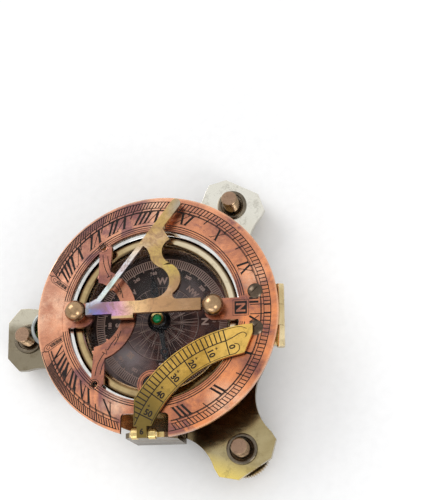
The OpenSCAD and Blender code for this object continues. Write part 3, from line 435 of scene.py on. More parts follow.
def lobe_tint(s, colour):
    """Painted reflections and shade on the lobes: a silver painted reflection in the north west, a steel
    brown painted reflection with a painted highlight along its top in the south, painted shade of the ring
    then a golden yellow painted highlight in the north east.
    """
    silver = (0.74, 0.72, 0.64)
    steel = (0.22, 0.19, 0.14)
    bright = (0.66, 0.62, 0.50)
    painted_ring_shade = (0.13, 0.09, 0.045)
    yellow = (0.86, 0.66, 0.17)
    slow = s.noise(25, detail=3)
    # painted reflection: the north west lobe is painted silver
    colour = s.mix(s.along((0.5, 0.86, 0), 25, 60, slow, 12), colour, silver)
    # painted reflection and shade: the south lobe is painted dark steel brown, with a painted highlight along
    # its top
    south = s.ramp(s.along((-1, 0, 0), 36, 58, slow, 14), [(0.1, 0), (0.5, 0.9)])
    colour = s.mix(south, colour, steel)
    painted_highlight = s.ramp(s.along((0, 1, 0), 2, 9, slow, 5), [(0.3, 0), (0.8, 0.8)])
    colour = s.mix(s.times(south, painted_highlight), colour, bright)
    # painted shade of the ring on the north east lobe, dark near the case and lighter towards its tip
    bands = [(0.1, 0), (0.25, 0.9), (0.55, 0.85), (0.75, 0.3), (1, 0.2)]
    colour = s.mix(s.ramp(s.along((0.5, -0.86, 0), 22, 64, slow, 8), bands), colour, painted_ring_shade)
    # painted highlight: a golden yellow edge on the north east lobe
    edge_highlight = s.ramp(s.along((-0.3, -0.95, 0), 41, 54, slow, 6), [(0.1, 0), (0.6, 0.9)])
    return s.mix(edge_highlight, colour, yellow)


def bracket_tint(s, colour):
    """Golden hinge knuckles over a dark plate."""
    golden = (0.74, 0.56, 0.24)
    top = s.ramp(s.along((0, 0, 1), 30.6, 31.2), [(0, 0), (1, 0.9)])
    return s.mix(top, colour, golden)


def case_tint(s, colour):
    """Painted reflection: the polished inside wall of the case above the card is painted nearly white."""
    polished = (0.90, 0.89, 0.85)
    black, white = (0, 0, 0), (1, 1, 1)
    inside = s.mix(s.ramp(s.away(31.5, 31.9), [(0.3, 1), (0.7, 0)]), black, white)
    high = s.ramp(s.along((0, 0, 1), 24, 25), [(0, 0), (1, 1)])
    return s.mix(s.times(inside, high), colour, polished)


def bezel_tint(s, colour):
    """Dark brown along the inner and outer edges, and a pale painted highlight to the north."""
    pale = (0.72, 0.62, 0.44)
    brown = (0.13, 0.085, 0.04)
    # pale painted highlight towards the north
    colour = s.mix(s.along((0.9, 0.5, 0), 0, 26), colour, pale)
    bands = [(0.0, 0.9), (0.16, 0.8), (0.3, 0), (0.62, 0), (0.75, 0.85), (1.0, 0.9)]
    return s.mix(s.ramp(s.away(26.6, 30.2), bands), colour, brown)


def stud_tint(s, colour):
    """Pinkish copper on the flat tops."""
    pinkish = (0.33, 0.20, 0.145)
    top = s.ramp(s.along((0, 0, 1), 19.4, 19.7), [(0.2, 0), (0.9, 0.8)])
    return s.mix(top, colour, pinkish)


# centres of the grey painted reflections of the glass on the card, and how far each reaches
GLASS_REFLECTION_SPOTS = ((-14, -13), (6, 14), (-8, 7))
GLASS_REFLECTION_REACH = 12


def card_face():
    """Dark brown printed card with grey painted reflections of the glass over three sectors, and painted
    shade towards the west.
    """
    near_black, brown = (0.026, 0.013, 0.012), (0.17, 0.07, 0.055)
    grey = (0.42, 0.36, 0.36)
    shade = (0.018, 0.016, 0.014)
    s = Shader("card_face")
    broad = s.noise(95, detail=6, rough=0.65, distortion=0.5)
    fine = s.noise(1500, detail=3)
    colour = s.mix(s.ramp(broad, [(0.38, 0), (0.62, 1)]), near_black, brown)
    # grey painted reflections of the glass, laid over three sectors of the card
    for cx, cy in GLASS_REFLECTION_SPOTS:
        spot = s.ramp(s.away(0, GLASS_REFLECTION_REACH, cx, cy), [(0.2, 1), (1.0, 0)])
        cloud = s.ramp(broad, [(0.3, 0.35), (0.6, 1)])
        colour = s.mix(s.times(spot, cloud), colour, grey)
    # painted shade, deepening towards the west
    dim = s.ramp(s.along((-0.55, 0.83, 0), -2, 22, broad, 6), [(0.15, 0), (0.6, 0.8)])
    colour = s.mix(dim, colour, shade)
    s.feed("Base Color", colour)
    s.feed("Roughness", s.ramp(broad, [(0.3, 0.3), (0.7, 0.5)]))
    s.bump(fine, 0.08, COAT_DEPTH)
    s.set(Metallic=0.05, Specular_IOR_Level=0.12)
    return s.material


# every finish; a metal's three colours are light, dark and stain
M = {
    "plate": aged_metal("plate_brass", (0.56, 0.48, 0.27), (0.36, 0.28, 0.13), (0.10, 0.07, 0.03),
        (0.12, 0.26), 55, tint=lobe_tint),
    "bracket": aged_metal("bracket_brass", (0.20, 0.15, 0.09), (0.10, 0.075, 0.045), (0.05, 0.035, 0.02),
        (0.24, 0.4), 80, tint=bracket_tint),
    "case": aged_metal("case_brass", (0.64, 0.51, 0.28), (0.38, 0.28, 0.13), (0.11, 0.07, 0.03),
        (0.1, 0.26), 45, stretch=(1, 1, 8), tint=case_tint),
    "ring": aged_metal("ring_copper", (0.76, 0.40, 0.27), (0.52, 0.245, 0.155), (0.11, 0.055, 0.05),
        (0.22, 0.38), 50, tint=ring_tint),
    "gnomon": aged_metal("gnomon_brass", (0.70, 0.58, 0.36), (0.46, 0.34, 0.18), (0.2, 0.13, 0.06),
        (0.14, 0.3), 80, tint=gnomon_tint),
    "arc": aged_metal("arc_brass", (0.74, 0.45, 0.10), (0.38, 0.22, 0.04), (0.12, 0.08, 0.02),
        (0.26, 0.42), 90, tint=arc_tint),
    "bright": aged_metal("bright_brass", (0.60, 0.46, 0.24), (0.30, 0.20, 0.09), (0.12, 0.08, 0.04),
        (0.13, 0.3), 60),
    "bezel": aged_metal("bezel_brass", (0.60, 0.46, 0.24), (0.30, 0.20, 0.09), (0.12, 0.08, 0.04),
        (0.1, 0.24), 60, tint=bezel_tint),
    "hinge": aged_metal("hinge_brass", (0.78, 0.64, 0.38), (0.52, 0.40, 0.20), (0.18, 0.12, 0.06),
        (0.13, 0.3), 90),
    "collar": aged_metal("collar_brass", (0.86, 0.68, 0.30), (0.66, 0.48, 0.18), (0.2, 0.13, 0.05),
        (0.12, 0.22), 120),
    "silver": aged_metal("snap_ring_steel", (0.90, 0.90, 0.88), (0.46, 0.45, 0.42), (0.1, 0.09, 0.08),
        (0.08, 0.2), 60),
    "bronze": aged_metal("dark_bronze", (0.44, 0.29, 0.16), (0.26, 0.16, 0.085), (0.07, 0.05, 0.03),
        (0.22, 0.38), 160),
    "stud": aged_metal("stud_bronze", (0.36, 0.25, 0.15), (0.20, 0.13, 0.08), (0.06, 0.045, 0.03),
        (0.22, 0.36), 160, tint=stud_tint),
    "bush": aged_metal("bush_steel", (0.20, 0.165, 0.12), (0.09, 0.075, 0.055), (0.03, 0.025, 0.02),
        (0.2, 0.36), 140),
    "steel": aged_metal("dark_steel", (0.12, 0.088, 0.062), (0.06, 0.045, 0.032), (0.02, 0.018, 0.016),
        (0.22, 0.4), 200),
    "black": plain_coat("gloss_black", (0.006, 0.006, 0.007), 0.05, bump=0.0, Specular_IOR_Level=0.1,
        Coat_Weight=0.35, Coat_Roughness=0.02),
    "bowl": plain_coat("bowl_black", (0.018, 0.016, 0.014), 0.35),
    "card": card_face(),
    "level": aged_metal("level_body", (0.34, 0.36, 0.35), (0.20, 0.21, 0.20), (0.08, 0.08, 0.08),
        (0.28, 0.45), 120),
    "fluid": plain_coat("level_liquid", (0.42, 0.72, 0.02), 0.1),
    "glass": clear_glass("compass_clear", (0.95, 0.98, 1.0)),
    "level_glass": clear_glass("level_clear", (0.9, 0.98, 0.85)),
    "jewel": plain_coat("green_stone", (0.0, 0.20, 0.055), 0.05, wear=(0.02, 0.62, 0.22), Coat_Weight=1.0,
        Coat_Roughness=0.02),
    "ink": plain_coat("black_filling", (0.012, 0.008, 0.007), 0.6, Specular_IOR_Level=0.15),
    "print": plain_coat("card_print", (0.58, 0.40, 0.33), 0.4, wear=(0.34, 0.21, 0.17)),
    "print_dark": plain_coat("card_lines", (0.02, 0.012, 0.01), 0.4),
    "letter": plain_coat("pale_letter", (0.6, 0.5, 0.42), 0.4, metallic=0.5),
}

# the CAD nodes that each finish goes on
FINISHES = {
    "plate": ["base_plate"],
    "bracket": ["arc_bracket"],
    "hinge": ["ring_hinge_bracket", "ring_hinge_leaf", "ring_hinge_pin", "arc_hinge_pin"],
    "case": ["compass_case"],
    "ring": ["hour_ring"],
    "gnomon": ["gnomon"],
    "arc": ["latitude_arc"],
    "bezel": ["glass_bezel"],
    "bright": ["needle_pivot", "thumb_wheel_nw", "thumb_wheel_s", "thumb_wheel_ne"],
    "collar": ["jewel_collar"],
    "bronze": ["spacer_ring", "gnomon_posts"],
    "stud": ["foot_screw_nw", "foot_screw_s", "foot_screw_ne"],
    "bush": ["foot_bushes"],
    "steel": ["plate_screws", "bracket_screws", "ring_screws", "gnomon_pivots"],
    "black": ["eye_disc", "needle_blade", "needle_hub"],
    "bowl": ["compass_bowl"],
    "card": ["compass_card"],
    "level": ["level_cup"],
    "fluid": ["level_fluid"],
    "glass": ["compass_glass"],
    "level_glass": ["level_glass"],
    "jewel": ["jewel"],
}


def finish_nodes():
    """Give every CAD node its finish."""
    for key, names in FINISHES.items():
        for name in names:
            materials = NODES[name].data.materials
            materials.clear()
            materials.append(M[key])


# Pieces of the scene

def made_piece(name, form, material, body):
    """Turn a bmesh into an object with its material, which rides on a body."""
    mesh = bpy.data.meshes.new(name)
    form.to_mesh(mesh)
    form.free()
    mesh.materials.append(material)
    made = new_object(name, mesh)
    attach(made, body)
    return made


# Softened copies of the CAD pieces: the same solid with its long edges eased

WALL = 0.6
SHARP = math.radians(28)
WELD = 0.002
FLAT = math.radians(0.6)
SEGMENTS = 2

# node and width of its bevel; of these only the edges of tall faces are eased, and no engraved line
WALLS_EASED = {
    "hour_ring": 0.25,
    "gnomon": 0.6,
    "latitude_arc": 0.25,
    "base_plate": 0.4,
    "ring_hinge_bracket": 0.15,
    "arc_bracket": 0.2,
    "ring_hinge_leaf": 0.1,
}

# of these every sharp edge is eased
ALL_EASED = {
    "needle_hub": 0.35,
    "needle_blade": 0.14,
    "glass_bezel": 0.2,
    "eye_disc": 0.15,
    "compass_case": 0.3,
    "foot_bushes": 0.2,
    "level_cup": 0.25,
}


def is_tall(face):
    """A face that stands up by more than WALL, so not the side of an engraved line."""
    heights = [v.co.z for v in face.verts]
    return max(heights) - min(heights) > WALL * MM


def is_sharp(edge):
    """True for an edge whose two faces meet at more than SHARP."""
    return len(edge.link_faces) == 2 and edge.calc_face_angle(0) > SHARP


def softened(node, width, all_edges):
    """Put a copy with bevelled edges in the place of a CAD node."""
    source = NODES[node]
    form = bmesh.new()
    form.from_mesh(source.data)
    bmesh.ops.remove_doubles(form, verts=form.verts, dist=WELD * MM)
    bmesh.ops.dissolve_limit(form, angle_limit=FLAT, verts=form.verts, edges=form.edges)
    edges = [e for e in form.edges if is_sharp(e) and (all_edges or any(is_tall(f) for f in e.link_faces))]
    bmesh.ops.bevel(form, geom=edges, offset=width * MM, offset_type="OFFSET", segments=SEGMENTS, profile=0.5,
                    affect="EDGES", clamp_overlap=True)
    bmesh.ops.triangulate(form, faces=[f for f in form.faces if len(f.verts) > 4])
    for face in form.faces:
        face.smooth = True
    for edge in form.edges:
        edge.smooth = len(edge.link_faces) != 2 or edge.calc_face_angle(0) < SHARP
    made = made_piece(node + "_eased", form, source.data.materials[0], BODY[node])
    weighted = made.modifiers.new("even_shading", "WEIGHTED_NORMAL")
    weighted.keep_sharp = True
    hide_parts(node)


# Thin filled lines and letters, laid flush in the surface they are engraved in

LEVELS = 23
LEVEL_STEP = 0.0009
INK_DEPTH = 0.1
INK_LIFT = 0.02


class Ink:
    """Collects flat outlines in ring coordinates and turns them into one thin solid."""

    def __init__(self):
        self.points = []
        self.faces = []
        self.strokes = 0

    def add(self, points, faces):
        """Each stroke lies a hair higher than the last, so that crossing strokes never share a plane."""
        start = len(self.points)
        level = self.strokes % LEVELS * LEVEL_STEP
        self.strokes += 1
        self.points += [(x, y, level) for x, y in points]
        self.faces += [[start + i for i in face] for face in faces]

    def shape(self, points):
        """One filled outline."""
        self.add(list(points), [list(range(len(points)))])

    def line(self, path, width, closed=False):
        """A stroke of even width along a path."""
        n = len(path)
        sides = []
        for i, (x, y) in enumerate(path):
            before = path[i - 1] if i or closed else path[0]
            after = path[(i + 1) % n] if i < n - 1 or closed else path[-1]
            dx, dy = after[0] - before[0], after[1] - before[1]
            span = math.hypot(dx, dy) or 1
            nx, ny = -dy / span * width / 2, dx / span * width / 2
            sides += [(x + nx, y + ny), (x - nx, y - ny)]
        rows = range(n if closed else n - 1)
        self.add(sides, [[2 * i, 2 * i + 1, (2 * i + 3) % (2 * n), (2 * i + 2) % (2 * n)] for i in rows])

    def circle(self, cx, cy, radius, step, width):
        """A closed circle with a corner every step degrees."""
        self.line([polar(radius, a, cx, cy) for a in range(0, 360, step)], width, closed=True)

    def text(self, words, height, place, reading):
        """Words centred on a place. reading is the direction in which they run, in degrees."""
        points, faces = glyphs(words)
        c, s = height * math.cos(math.radians(reading)), height * math.sin(math.radians(reading))
        x, y = place
        self.add([(x + c * u - s * v, y + s * u + c * v) for u, v in points], faces)

    def build(self, name, z, body, slot, key, lift=INK_LIFT):
        """Make the piece: its upper faces lie lift above the surface at height z."""
        form = bmesh.new()
        corners = [form.verts.new(placed(x, y, z + lift + level)) for x, y, level in self.points]
        for face in self.faces:
            made = form.faces.new([corners[i] for i in face])
            made.normal_update()
            if made.normal.z < 0:
                made.normal_flip()
        bmesh.ops.solidify(form, geom=form.faces[:], thickness=INK_DEPTH * MM)
        bmesh.ops.recalc_face_normals(form, faces=form.faces)
        made_piece(name, form, M[key], body)


GLYPHS = {}
BOLD = 0.035
CURVE_STEPS = 3


def glyphs(words):
    """Flat faces of plain lettering, one unit high and centred on the origin."""
    if words not in GLYPHS:
        curve = bpy.data.curves.new("lettering", "FONT")
        curve.body = words
        curve.resolution_u = CURVE_STEPS
        curve.offset = BOLD
        holder = new_object("lettering", curve)
        mesh = holder.evaluated_get(bpy.context.evaluated_depsgraph_get()).to_mesh()
        points = [(v.co.x, v.co.y) for v in mesh.vertices]
        faces = [list(p.vertices) for p in mesh.polygons]
        xs, ys = [p[0] for p in points], [p[1] for p in points]
        size = max(ys) - min(ys)
        mx, my = (max(xs) + min(xs)) / 2, (max(ys) + min(ys)) / 2
        GLYPHS[words] = ([((x - mx) / size, (y - my) / size) for x, y in points], faces)
        bpy.data.objects.remove(holder)
        bpy.data.curves.remove(curve)
    return GLYPHS[words]


# Engraving of the hour ring

OUTER_R, TICK_R, STRIP_R = 42.2, 39.8, 38.8
STRIP_GAP = 0.32
BORDERS = ((33.2, 0.34), (32.4, 0.28), (31.7, 0.2))
FOOT = 24
MARKS_WEST, MARKS_EAST = 157.0, 162.5
LINE = 0.3
FINE = 0.2
SHORT_MARK, LONG_MARK = 0.34, 0.38
NUMERAL_R = 38.5
NUMERAL_H = 4.2
HALF_HOUR_R = 37.2
HOUR_ANGLE = 15
MARKS_PER_HOUR = 12
LAST_HOUR = 8.5
NOON_SIDE = 1.7
NOON_START = 34.9
NOTCH_X, NOTCH_W, NOTCH_Y = -2.2, 17.0, 35.2
NOTCH_SPARE = 0.3
TAB_Y, TAB_NORTH_W, TAB_SOUTH_W = 0.6, 4.2, 5.0
CIRCLE_STEP = 1.5


def dial_ray(angle, radius):
    """The point where the ray from the gnomon foot at that angle meets a circle about the ring centre."""
    a = math.radians(angle)
    reach = FOOT * math.cos(a) + math.sqrt(radius ** 2 - (FOOT * math.sin(a)) ** 2)
    return (-FOOT + reach * math.cos(a), reach * math.sin(a))


def in_notch(x, y):
    """True in the notch for the latitude arc."""
    return abs(x - NOTCH_X) < NOTCH_W / 2 + NOTCH_SPARE and y < -NOTCH_Y + NOTCH_SPARE


def in_marks(x, y):
    """True where the ring bears marks: outside the notch and the bare sector in the south."""
    angle = math.degrees(math.atan2(y, x))
    return -MARKS_EAST < angle < MARKS_WEST and not in_notch(x, y)


def clear_of_tabs(x, y):
    """True outside the notch and the tabs that carry the ball posts."""
    tab = TAB_NORTH_W if x > 0 else TAB_SOUTH_W
    return not in_notch(x, y) and abs(y - TAB_Y) >= tab


def broken_circle(ink, radius, width, keep):
    """A circle about the ring centre, drawn only where keep(x, y) is true."""
    run = []
    for i in range(int(360 / CIRCLE_STEP) + 1):
        point = polar(radius, -180 + i * CIRCLE_STEP)
        if keep(*point):
            run.append(point)
            continue
        if len(run) > 1:
            ink.line(run, width)
        run = []
    if len(run) > 1:
        ink.line(run, width)


# each numeral's width, and its strokes: (side, height) at both ends, and thickness
STROKES = {
    "I": (1.5, [((0, 0), (0, 1), 0.78)]),
    "V": (3.0, [((-1.15, 1), (0.05, 0), 0.74), ((1.15, 1), (0.05, 0), 0.3)]),
    "X": (3.0, [((-1.15, 1), (1.15, 0), 0.74), ((1.15, 1), (-1.15, 0), 0.3)]),
}
SERIFS = {
    "I": [(0, 0), (0, 1)],
    "V": [(-1.15, 1), (1.15, 1)],
    "X": [(-1.15, 1), (1.15, 1), (-1.15, 0), (1.15, 0)],
}
SERIF_L, SERIF_T = 1.25, 0.17


def numeral(ink, words, angle):
    """A Roman numeral centred on an hour ray, its top towards the ring centre."""
    middle_x, middle_y = dial_ray(angle, NUMERAL_R - NUMERAL_H / 2)
    far = math.hypot(middle_x + FOOT, middle_y)

    def at(side, height):
        return dial_ray(angle + math.degrees(side / far), NUMERAL_R - height * NUMERAL_H)

    def bar(low_side, low_height, high_side, high_height, wide):
        half = wide / 2
        ink.shape([at(low_side - half, low_height), at(low_side + half, low_height),
                   at(high_side + half, high_height), at(high_side - half, high_height)])

    thin = SERIF_T / NUMERAL_H
    start = -sum(STROKES[c][0] for c in words) / 2
    for letter in words:
        width, strokes = STROKES[letter]
        mid = start + width / 2
        start += width
        for (u1, v1), (u2, v2), thick in strokes:
            bar(mid + u1, v1, mid + u2, v2, thick)
        for u, v in SERIFS[letter]:
            low = v if v == 0 else v - thin
            bar(mid + u, low, mid + u, low + thin, SERIF_L)


# angle of each numeral's ray at the gnomon foot
NUMERALS = {
    15: "XI", 30.5: "X", 44.5: "IX", 59.5: "VIII", 73: "VII", 86: "VI", 99.5: "V", 113.5: "IIII",
    -15: "I", -30.5: "II", -45: "III", -75: "V", -90: "VI", -104.5: "VII", -120.5: "VIII",
}

# the strokes of XII, which stands astride the two noon lines: y at its foot and top, and thickness
NOON_FOOT, NOON_TOP = 37.9, 34.6
NOON_STROKES = ((2.6, 2.6, 0.75), (4.0, 4.0, 0.75), (-4.6, -2.4, 0.74), (-2.4, -4.6, 0.3))

# the cartouche at each end of the number band: its radius, depth and place beyond the last mark
SCROLL_R, SCROLL_DEPTH = 40.2, 6.6
SCROLL_START, SCROLL_LEAN, SCROLL_MIDDLE = 0.9, 2.0, 37
SCROLL_BOX = ((0.5, -1.1), (0, -1.1), (-0.12, -0.7), (-0.16, 0), (-0.12, 0.7), (0, 1.1), (0.5, 1.1), (1, 1.1),
              (1, -1.1))
SCROLL_CURL = ((0.22, 0.6), (0.08, 0.6), (-0.02, 0.1), (0.06, -0.5), (0.17, -0.4), (0.18, 0.1))
SCROLL_ROWS, ROW_W = (-0.55, -0.18, 0.18, 0.55), 0.24
SCROLL_HATCH = (0.3, 0.5, 0.7, 0.9)


def scroll_end(ink, side, angle):
    """The hatched cartouche with a curl that closes the number band beside the bare sector."""
    def at(part, across):
        shift = (SCROLL_START + SCROLL_LEAN * part + across) / SCROLL_MIDDLE
        return polar(SCROLL_R - SCROLL_DEPTH * part, side * (angle + math.degrees(shift)))

    ink.line([polar(OUTER_R, side * angle), polar(OUTER_R - 1, side * (angle + 0.4)), at(0, -1.1)], LINE)
    ink.line([at(*p) for p in SCROLL_BOX], FINE, closed=True)
    ink.line([at(*p) for p in SCROLL_CURL], FINE)
    for across in SCROLL_ROWS:
        ink.line([at(0.28, across), at(0.93, across)], ROW_W)
    for part in SCROLL_HATCH:
        ink.line([at(part, -0.6), at(part - 0.08, 0.6)], LINE)


def hour_marks(ink):
    """The five-minute marks, longer at each quarter, half hour and hour."""
    last = int(LAST_HOUR * MARKS_PER_HOUR)
    for step in range(-last, last + 1):
        angle = step / MARKS_PER_HOUR * HOUR_ANGLE
        if step == 0 or not in_marks(*dial_ray(angle, OUTER_R)) or not in_marks(*dial_ray(angle, STRIP_R)):
            continue
        inner = TICK_R
        if step % 3 == 0:
            inner = STRIP_R
        if step % 6 == 0:
            inner = HALF_HOUR_R
        if step % MARKS_PER_HOUR == 0:
            inner = NUMERAL_R
        ink.line([dial_ray(angle, inner), dial_ray(angle, OUTER_R)], SHORT_MARK if step % 3 else LONG_MARK)
    for side in (-NOON_SIDE, NOON_SIDE):
        ink.line([(NOON_START, side), (math.sqrt(OUTER_R ** 2 - side ** 2), side)], LINE)


def engrave_ring():
    """Circles, marks, numerals and ornament of the hour ring, as one thin filling."""
    ink = Ink()
    broken_circle(ink, OUTER_R, LINE, in_marks)
    broken_circle(ink, TICK_R, FINE, in_marks)
    for radius in (STRIP_R + STRIP_GAP / 2, STRIP_R - STRIP_GAP / 2):
        broken_circle(ink, radius, FINE, in_marks)
    for radius, width in BORDERS:
        broken_circle(ink, radius, width, clear_of_tabs)
    hour_marks(ink)
    for angle, words in NUMERALS.items():
        numeral(ink, words, angle)
    for foot_y, top_y, width in NOON_STROKES:
        ink.line([(NOON_FOOT, foot_y), (NOON_TOP, top_y)], width)
    scroll_end(ink, 1, MARKS_WEST)
    scroll_end(ink, -1, MARKS_EAST)
    flame_lines(ink)
    eye_lines(ink)
    ink.build("ring_engraving", RING_TOP, "hour_dial", "black_paint", "ink")


# The arch's flames: strokes and zigzags of the west arm, mirrored for the east one

ARCH_TURN = -1.8
FLAME_STROKES = (
    [(-19.7, 22.2), (-19.2, 19.2), (-18.3, 16.6), (-16.9, 14.2)],
    [(-17.9, 21.8), (-17.3, 18.8), (-16.4, 16.3)],
    [(-15.6, 13.0), (-14.2, 10.4), (-12.9, 8.9)],
    [(-13.4, 11.4), (-12.0, 8.6), (-11.2, 6.0)],
)
FLAME_ZIGZAGS = (
    [(-16.9, 14.2), (-17.6, 13.7), (-15.8, 14.6), (-16.4, 12.6), (-15.6, 13.0)],
    [(-12.9, 8.9), (-13.4, 8.2), (-12.2, 8.5), (-12.4, 7.3)],
)
FLAME_W = 0.28
HOLE_X, HOLE_Y, HOLE_R = -19.75, 25.2, 1.75
EYE_Y = -25.2
EYE_CIRCLES = (3.55, 4.5)


def turned(x, y):
    """A point of the arch, turned with it about the ring centre."""
    c, s = math.cos(math.radians(ARCH_TURN)), math.sin(math.radians(ARCH_TURN))
    return (c * x - s * y, s * x + c * y)


def spline(a, b, c, d, t):
    """A value a share t of the way from b to c, on a smooth curve through a, b, c and d."""
    rise = (c - a) * t
    bend = (2 * a - 5 * b + 4 * c - d) * t ** 2
    twist = (3 * b - a - 3 * c + d) * t ** 3
    return 0.5 * (2 * b + rise + bend + twist)


def curved(points, steps=5):
    """Points along a smooth curve through the given ones."""
    ends = [points[0]] + list(points) + [points[-1]]
    made = []
    for four in zip(ends, ends[1:], ends[2:], ends[3:]):
        for i in range(steps):
            made.append(tuple(spline(*(p[k] for p in four), i / steps) for k in (0, 1)))
    return made + [points[-1]]


def flame_lines(ink):
    """The flame drawn along each arm of the arch, and the rims of the holes at its ends."""
    for side in (1, -1):
        for path in FLAME_STROKES:
            ink.line([turned(x, side * y) for x, y in curved(path)], FLAME_W)
        for path in FLAME_ZIGZAGS:
            ink.line([turned(x, side * y) for x, y in path], LINE)
        ink.circle(*turned(HOLE_X, side * HOLE_Y), HOLE_R, 20, FINE)


def eye_lines(ink):
    """Two circles round the eye in the east."""
    for radius in EYE_CIRCLES:
        ink.circle(0, EYE_Y, radius, 12, FINE)


# The boxed letter on the north tab and the letter in the eye

N_X, N_Y, N_WIDE, N_HIGH = 31.6, 0.8, 4.4, 4.6
N_LETTER, E_LETTER = 3.3, 3.6
FRAME_SPARE = 0.55
N_LIFT, E_LIFT = 0.045, 0.03


def box_corners(spare):
    """Corners of the box on the north tab, grown by spare on each side."""
    half_x, half_y = N_WIDE / 2 + spare, N_HIGH / 2 + spare
    return [(N_X + sx * half_x, N_Y + sy * half_y) for sx, sy in ((-1, -1), (1, -1), (1, 1), (-1, 1))]


def letter_boxes():
    """The black box with the letter N on the north tab, and the letter E in the eye."""
    outline, field, north, east = Ink(), Ink(), Ink(), Ink()
    outline.line(box_corners(FRAME_SPARE), FINE, closed=True)
    outline.build("north_frame", RING_TOP, "hour_dial", "black_paint", "ink")
    field.shape(box_corners(0))
    field.build("north_field", RING_TOP, "hour_dial", "black_paint", "ink")
    north.text("N", N_LETTER, (N_X, N_Y), 90)
    north.build("north_letter", RING_TOP, "hour_dial", "ring_copper", "ring", lift=N_LIFT)
    east.text("E", E_LETTER, (0, EYE_Y), 0)
    east.build("east_letter", EYE_TOP, "hour_dial", "ring_copper", "letter", lift=E_LIFT)


# Scale of the latitude arc

ARC_X, ARC_Y, ARC_IN, ARC_MID, ARC_OUT = 38.5, -56.7, 41.0, 46.6, 51.0
ARC_INNER_LINE, ARC_OUTER_LINE = ARC_IN + 0.45, ARC_OUT - 0.45
ARC_ZERO, ARC_STEP = 104.6, 9.8
ARC_SIDE, ARC_END = -5.4, -40.1
ARC_EDGE = 0.3
SIDE_LINE_START = -32.6
SCALE_END = 50
LAST_TICK = 56
TICK_STEPS = 12
ARC_LINES = ((ARC_MID, 0.36), (ARC_OUTER_LINE, 0.2), (ARC_INNER_LINE, 0.2))
TICK_W, TEN_W = 0.42, 0.4
FIGURE_H, FIGURE_R, FIGURE_SHIFT = 2.3, 44.0, -2.15
PLUS_R, PLUS_ARM, PLUS_W = 45.1, 0.55, 0.22
TONGUE_FIGURE_H, TONGUE_PLACE = 2.2, (-2.4, -41.9)

# the scrolled end beyond the zero line: radius and degrees of each point, and width of the stroke
SCROLLS = (
    ([(ARC_MID, 0), (47.1, -3.0), (48.0, -6.0), (48.3, -8.0), (47.5, -9.2), (46.5, -8.8)], 0.28),
    ([(ARC_OUTER_LINE, 0), (ARC_OUT - 0.5, -6.5), (49.4, -9.6)], 0.2),
    ([(ARC_INNER_LINE, 0), (41.5, -3.0), (42.6, -5.2), (44.3, -5.2), (44.9, -3.4)], 0.28),
)


def arc_point(radius, units):
    """A point of the arc, from its radius and its reading on the scale."""
    return polar(radius, ARC_ZERO + units / 10 * ARC_STEP, ARC_X, ARC_Y)


def kept_on_arc(points):
    """Those points that lie on the metal, within the arc's straight side and end."""
    return [p for p in points if p[0] > ARC_SIDE + ARC_EDGE and p[1] > ARC_END + ARC_EDGE]


def plus_sign(ink, x, y, direction):
    """A small plus whose arms lie along and across the scale."""
    for turn in (0, 90):
        dx, dy = polar(PLUS_ARM, direction + turn)
        ink.line([(x - dx, y - dy), (x + dx, y + dy)], PLUS_W)


def engrave_arc():
    """Lines, marks, figures and scrolls of the latitude arc, as one thin filling."""
    ink = Ink()
    for radius, width in ARC_LINES:
        ink.line(kept_on_arc([arc_point(radius, u / 2) for u in range(2 * LAST_TICK + 1)]), width)
    tick_l = ARC_OUTER_LINE - ARC_MID
    for unit in range(0, LAST_TICK + 1, 2):
        tick = [arc_point(ARC_MID + tick_l * i / TICK_STEPS, unit) for i in range(TICK_STEPS + 1)]
        kept = kept_on_arc(tick)
        if len(kept) > 2:
            ink.line([kept[0], kept[-1]], TICK_W)
    ink.line([(ARC_SIDE + ARC_EDGE, y) for y in (SIDE_LINE_START, ARC_END + ARC_EDGE)], FINE)
    for unit in range(0, SCALE_END + 1, 10):
        ink.line([arc_point(ARC_INNER_LINE, unit), arc_point(ARC_MID, unit)], TEN_W)
        direction = ARC_ZERO + unit / 10 * ARC_STEP - 180
        ink.text(str(unit), FIGURE_H, arc_point(FIGURE_R, unit + FIGURE_SHIFT), direction)
        if unit < SCALE_END:
            plus_sign(ink, *arc_point(PLUS_R, unit + 5), direction)
    for path, width in SCROLLS:
        ink.line(curved([arc_point(*p) for p in path]), width)
    ink.build("arc_scale", ARC_TOP, "latitude_scale", "black_paint", "ink")
    tongue = Ink()
    tongue.text("6", TONGUE_FIGURE_H, TONGUE_PLACE, 0)
    tongue.build("tongue_figure", ARC_TOP, "latitude_scale", "black_paint", "ink")


# Compass card

SCALE_LINES, SCALE_W = (24.6, 21.7), 0.22
DEGREE_OUT, DEGREE_IN, TEN_DEGREE_IN = 24.4, 21.7, 20.9
DEGREE_W = 0.34
DEGREE_FIGURE_R, DEGREE_FIGURE_H = 19.6, 1.3
POINT_R, POINT_H, HALF_POINT_H = 16.2, 2.7, 2.1
POINTS = {"N": 0, "E": 90, "S": 180, "W": 270, "NE": 45, "SE": 135, "SW": 225, "NW": 315}
ROSE_CIRCLES, ROSE_W = (8.2, 7.5, 13.9), 0.2
HAIR_IN, HAIR_W = 0.22, 0.1
ROSE_POINTS = 8
ROSE_ROOT, ROSE_ROOT_TURN = 3.4, 11
ROSE_LONG, ROSE_MIDDLE, ROSE_SHORT = 13.4, 11.4, 9.4
SPINE_W, SIDE_W = 0.14, 0.13
RAYS, RAY_TURN, RAY_IN, RAY_OUT = 32, 5.6, 8.3, 13.7
MARKS_LIFT = 0.035


def card_scale(pale):
    """The degree circle with its figures, and the letters of the eight points."""
    for radius in SCALE_LINES:
        pale.circle(0, 0, radius, 4, SCALE_W)
    for degree in range(0, 360, 2):
        inner = DEGREE_IN if degree % 10 else TEN_DEGREE_IN
        pale.line([polar(inner, degree), polar(DEGREE_OUT, degree)], DEGREE_W)
    for degree in range(0, 360, 20):
        pale.text(str(degree), DEGREE_FIGURE_H, polar(DEGREE_FIGURE_R, -degree), -degree - 90)
    for words, bearing in POINTS.items():
        height = POINT_H if len(words) == 1 else HALF_POINT_H
        pale.text(words, height, polar(POINT_R, -bearing), -bearing - 90)


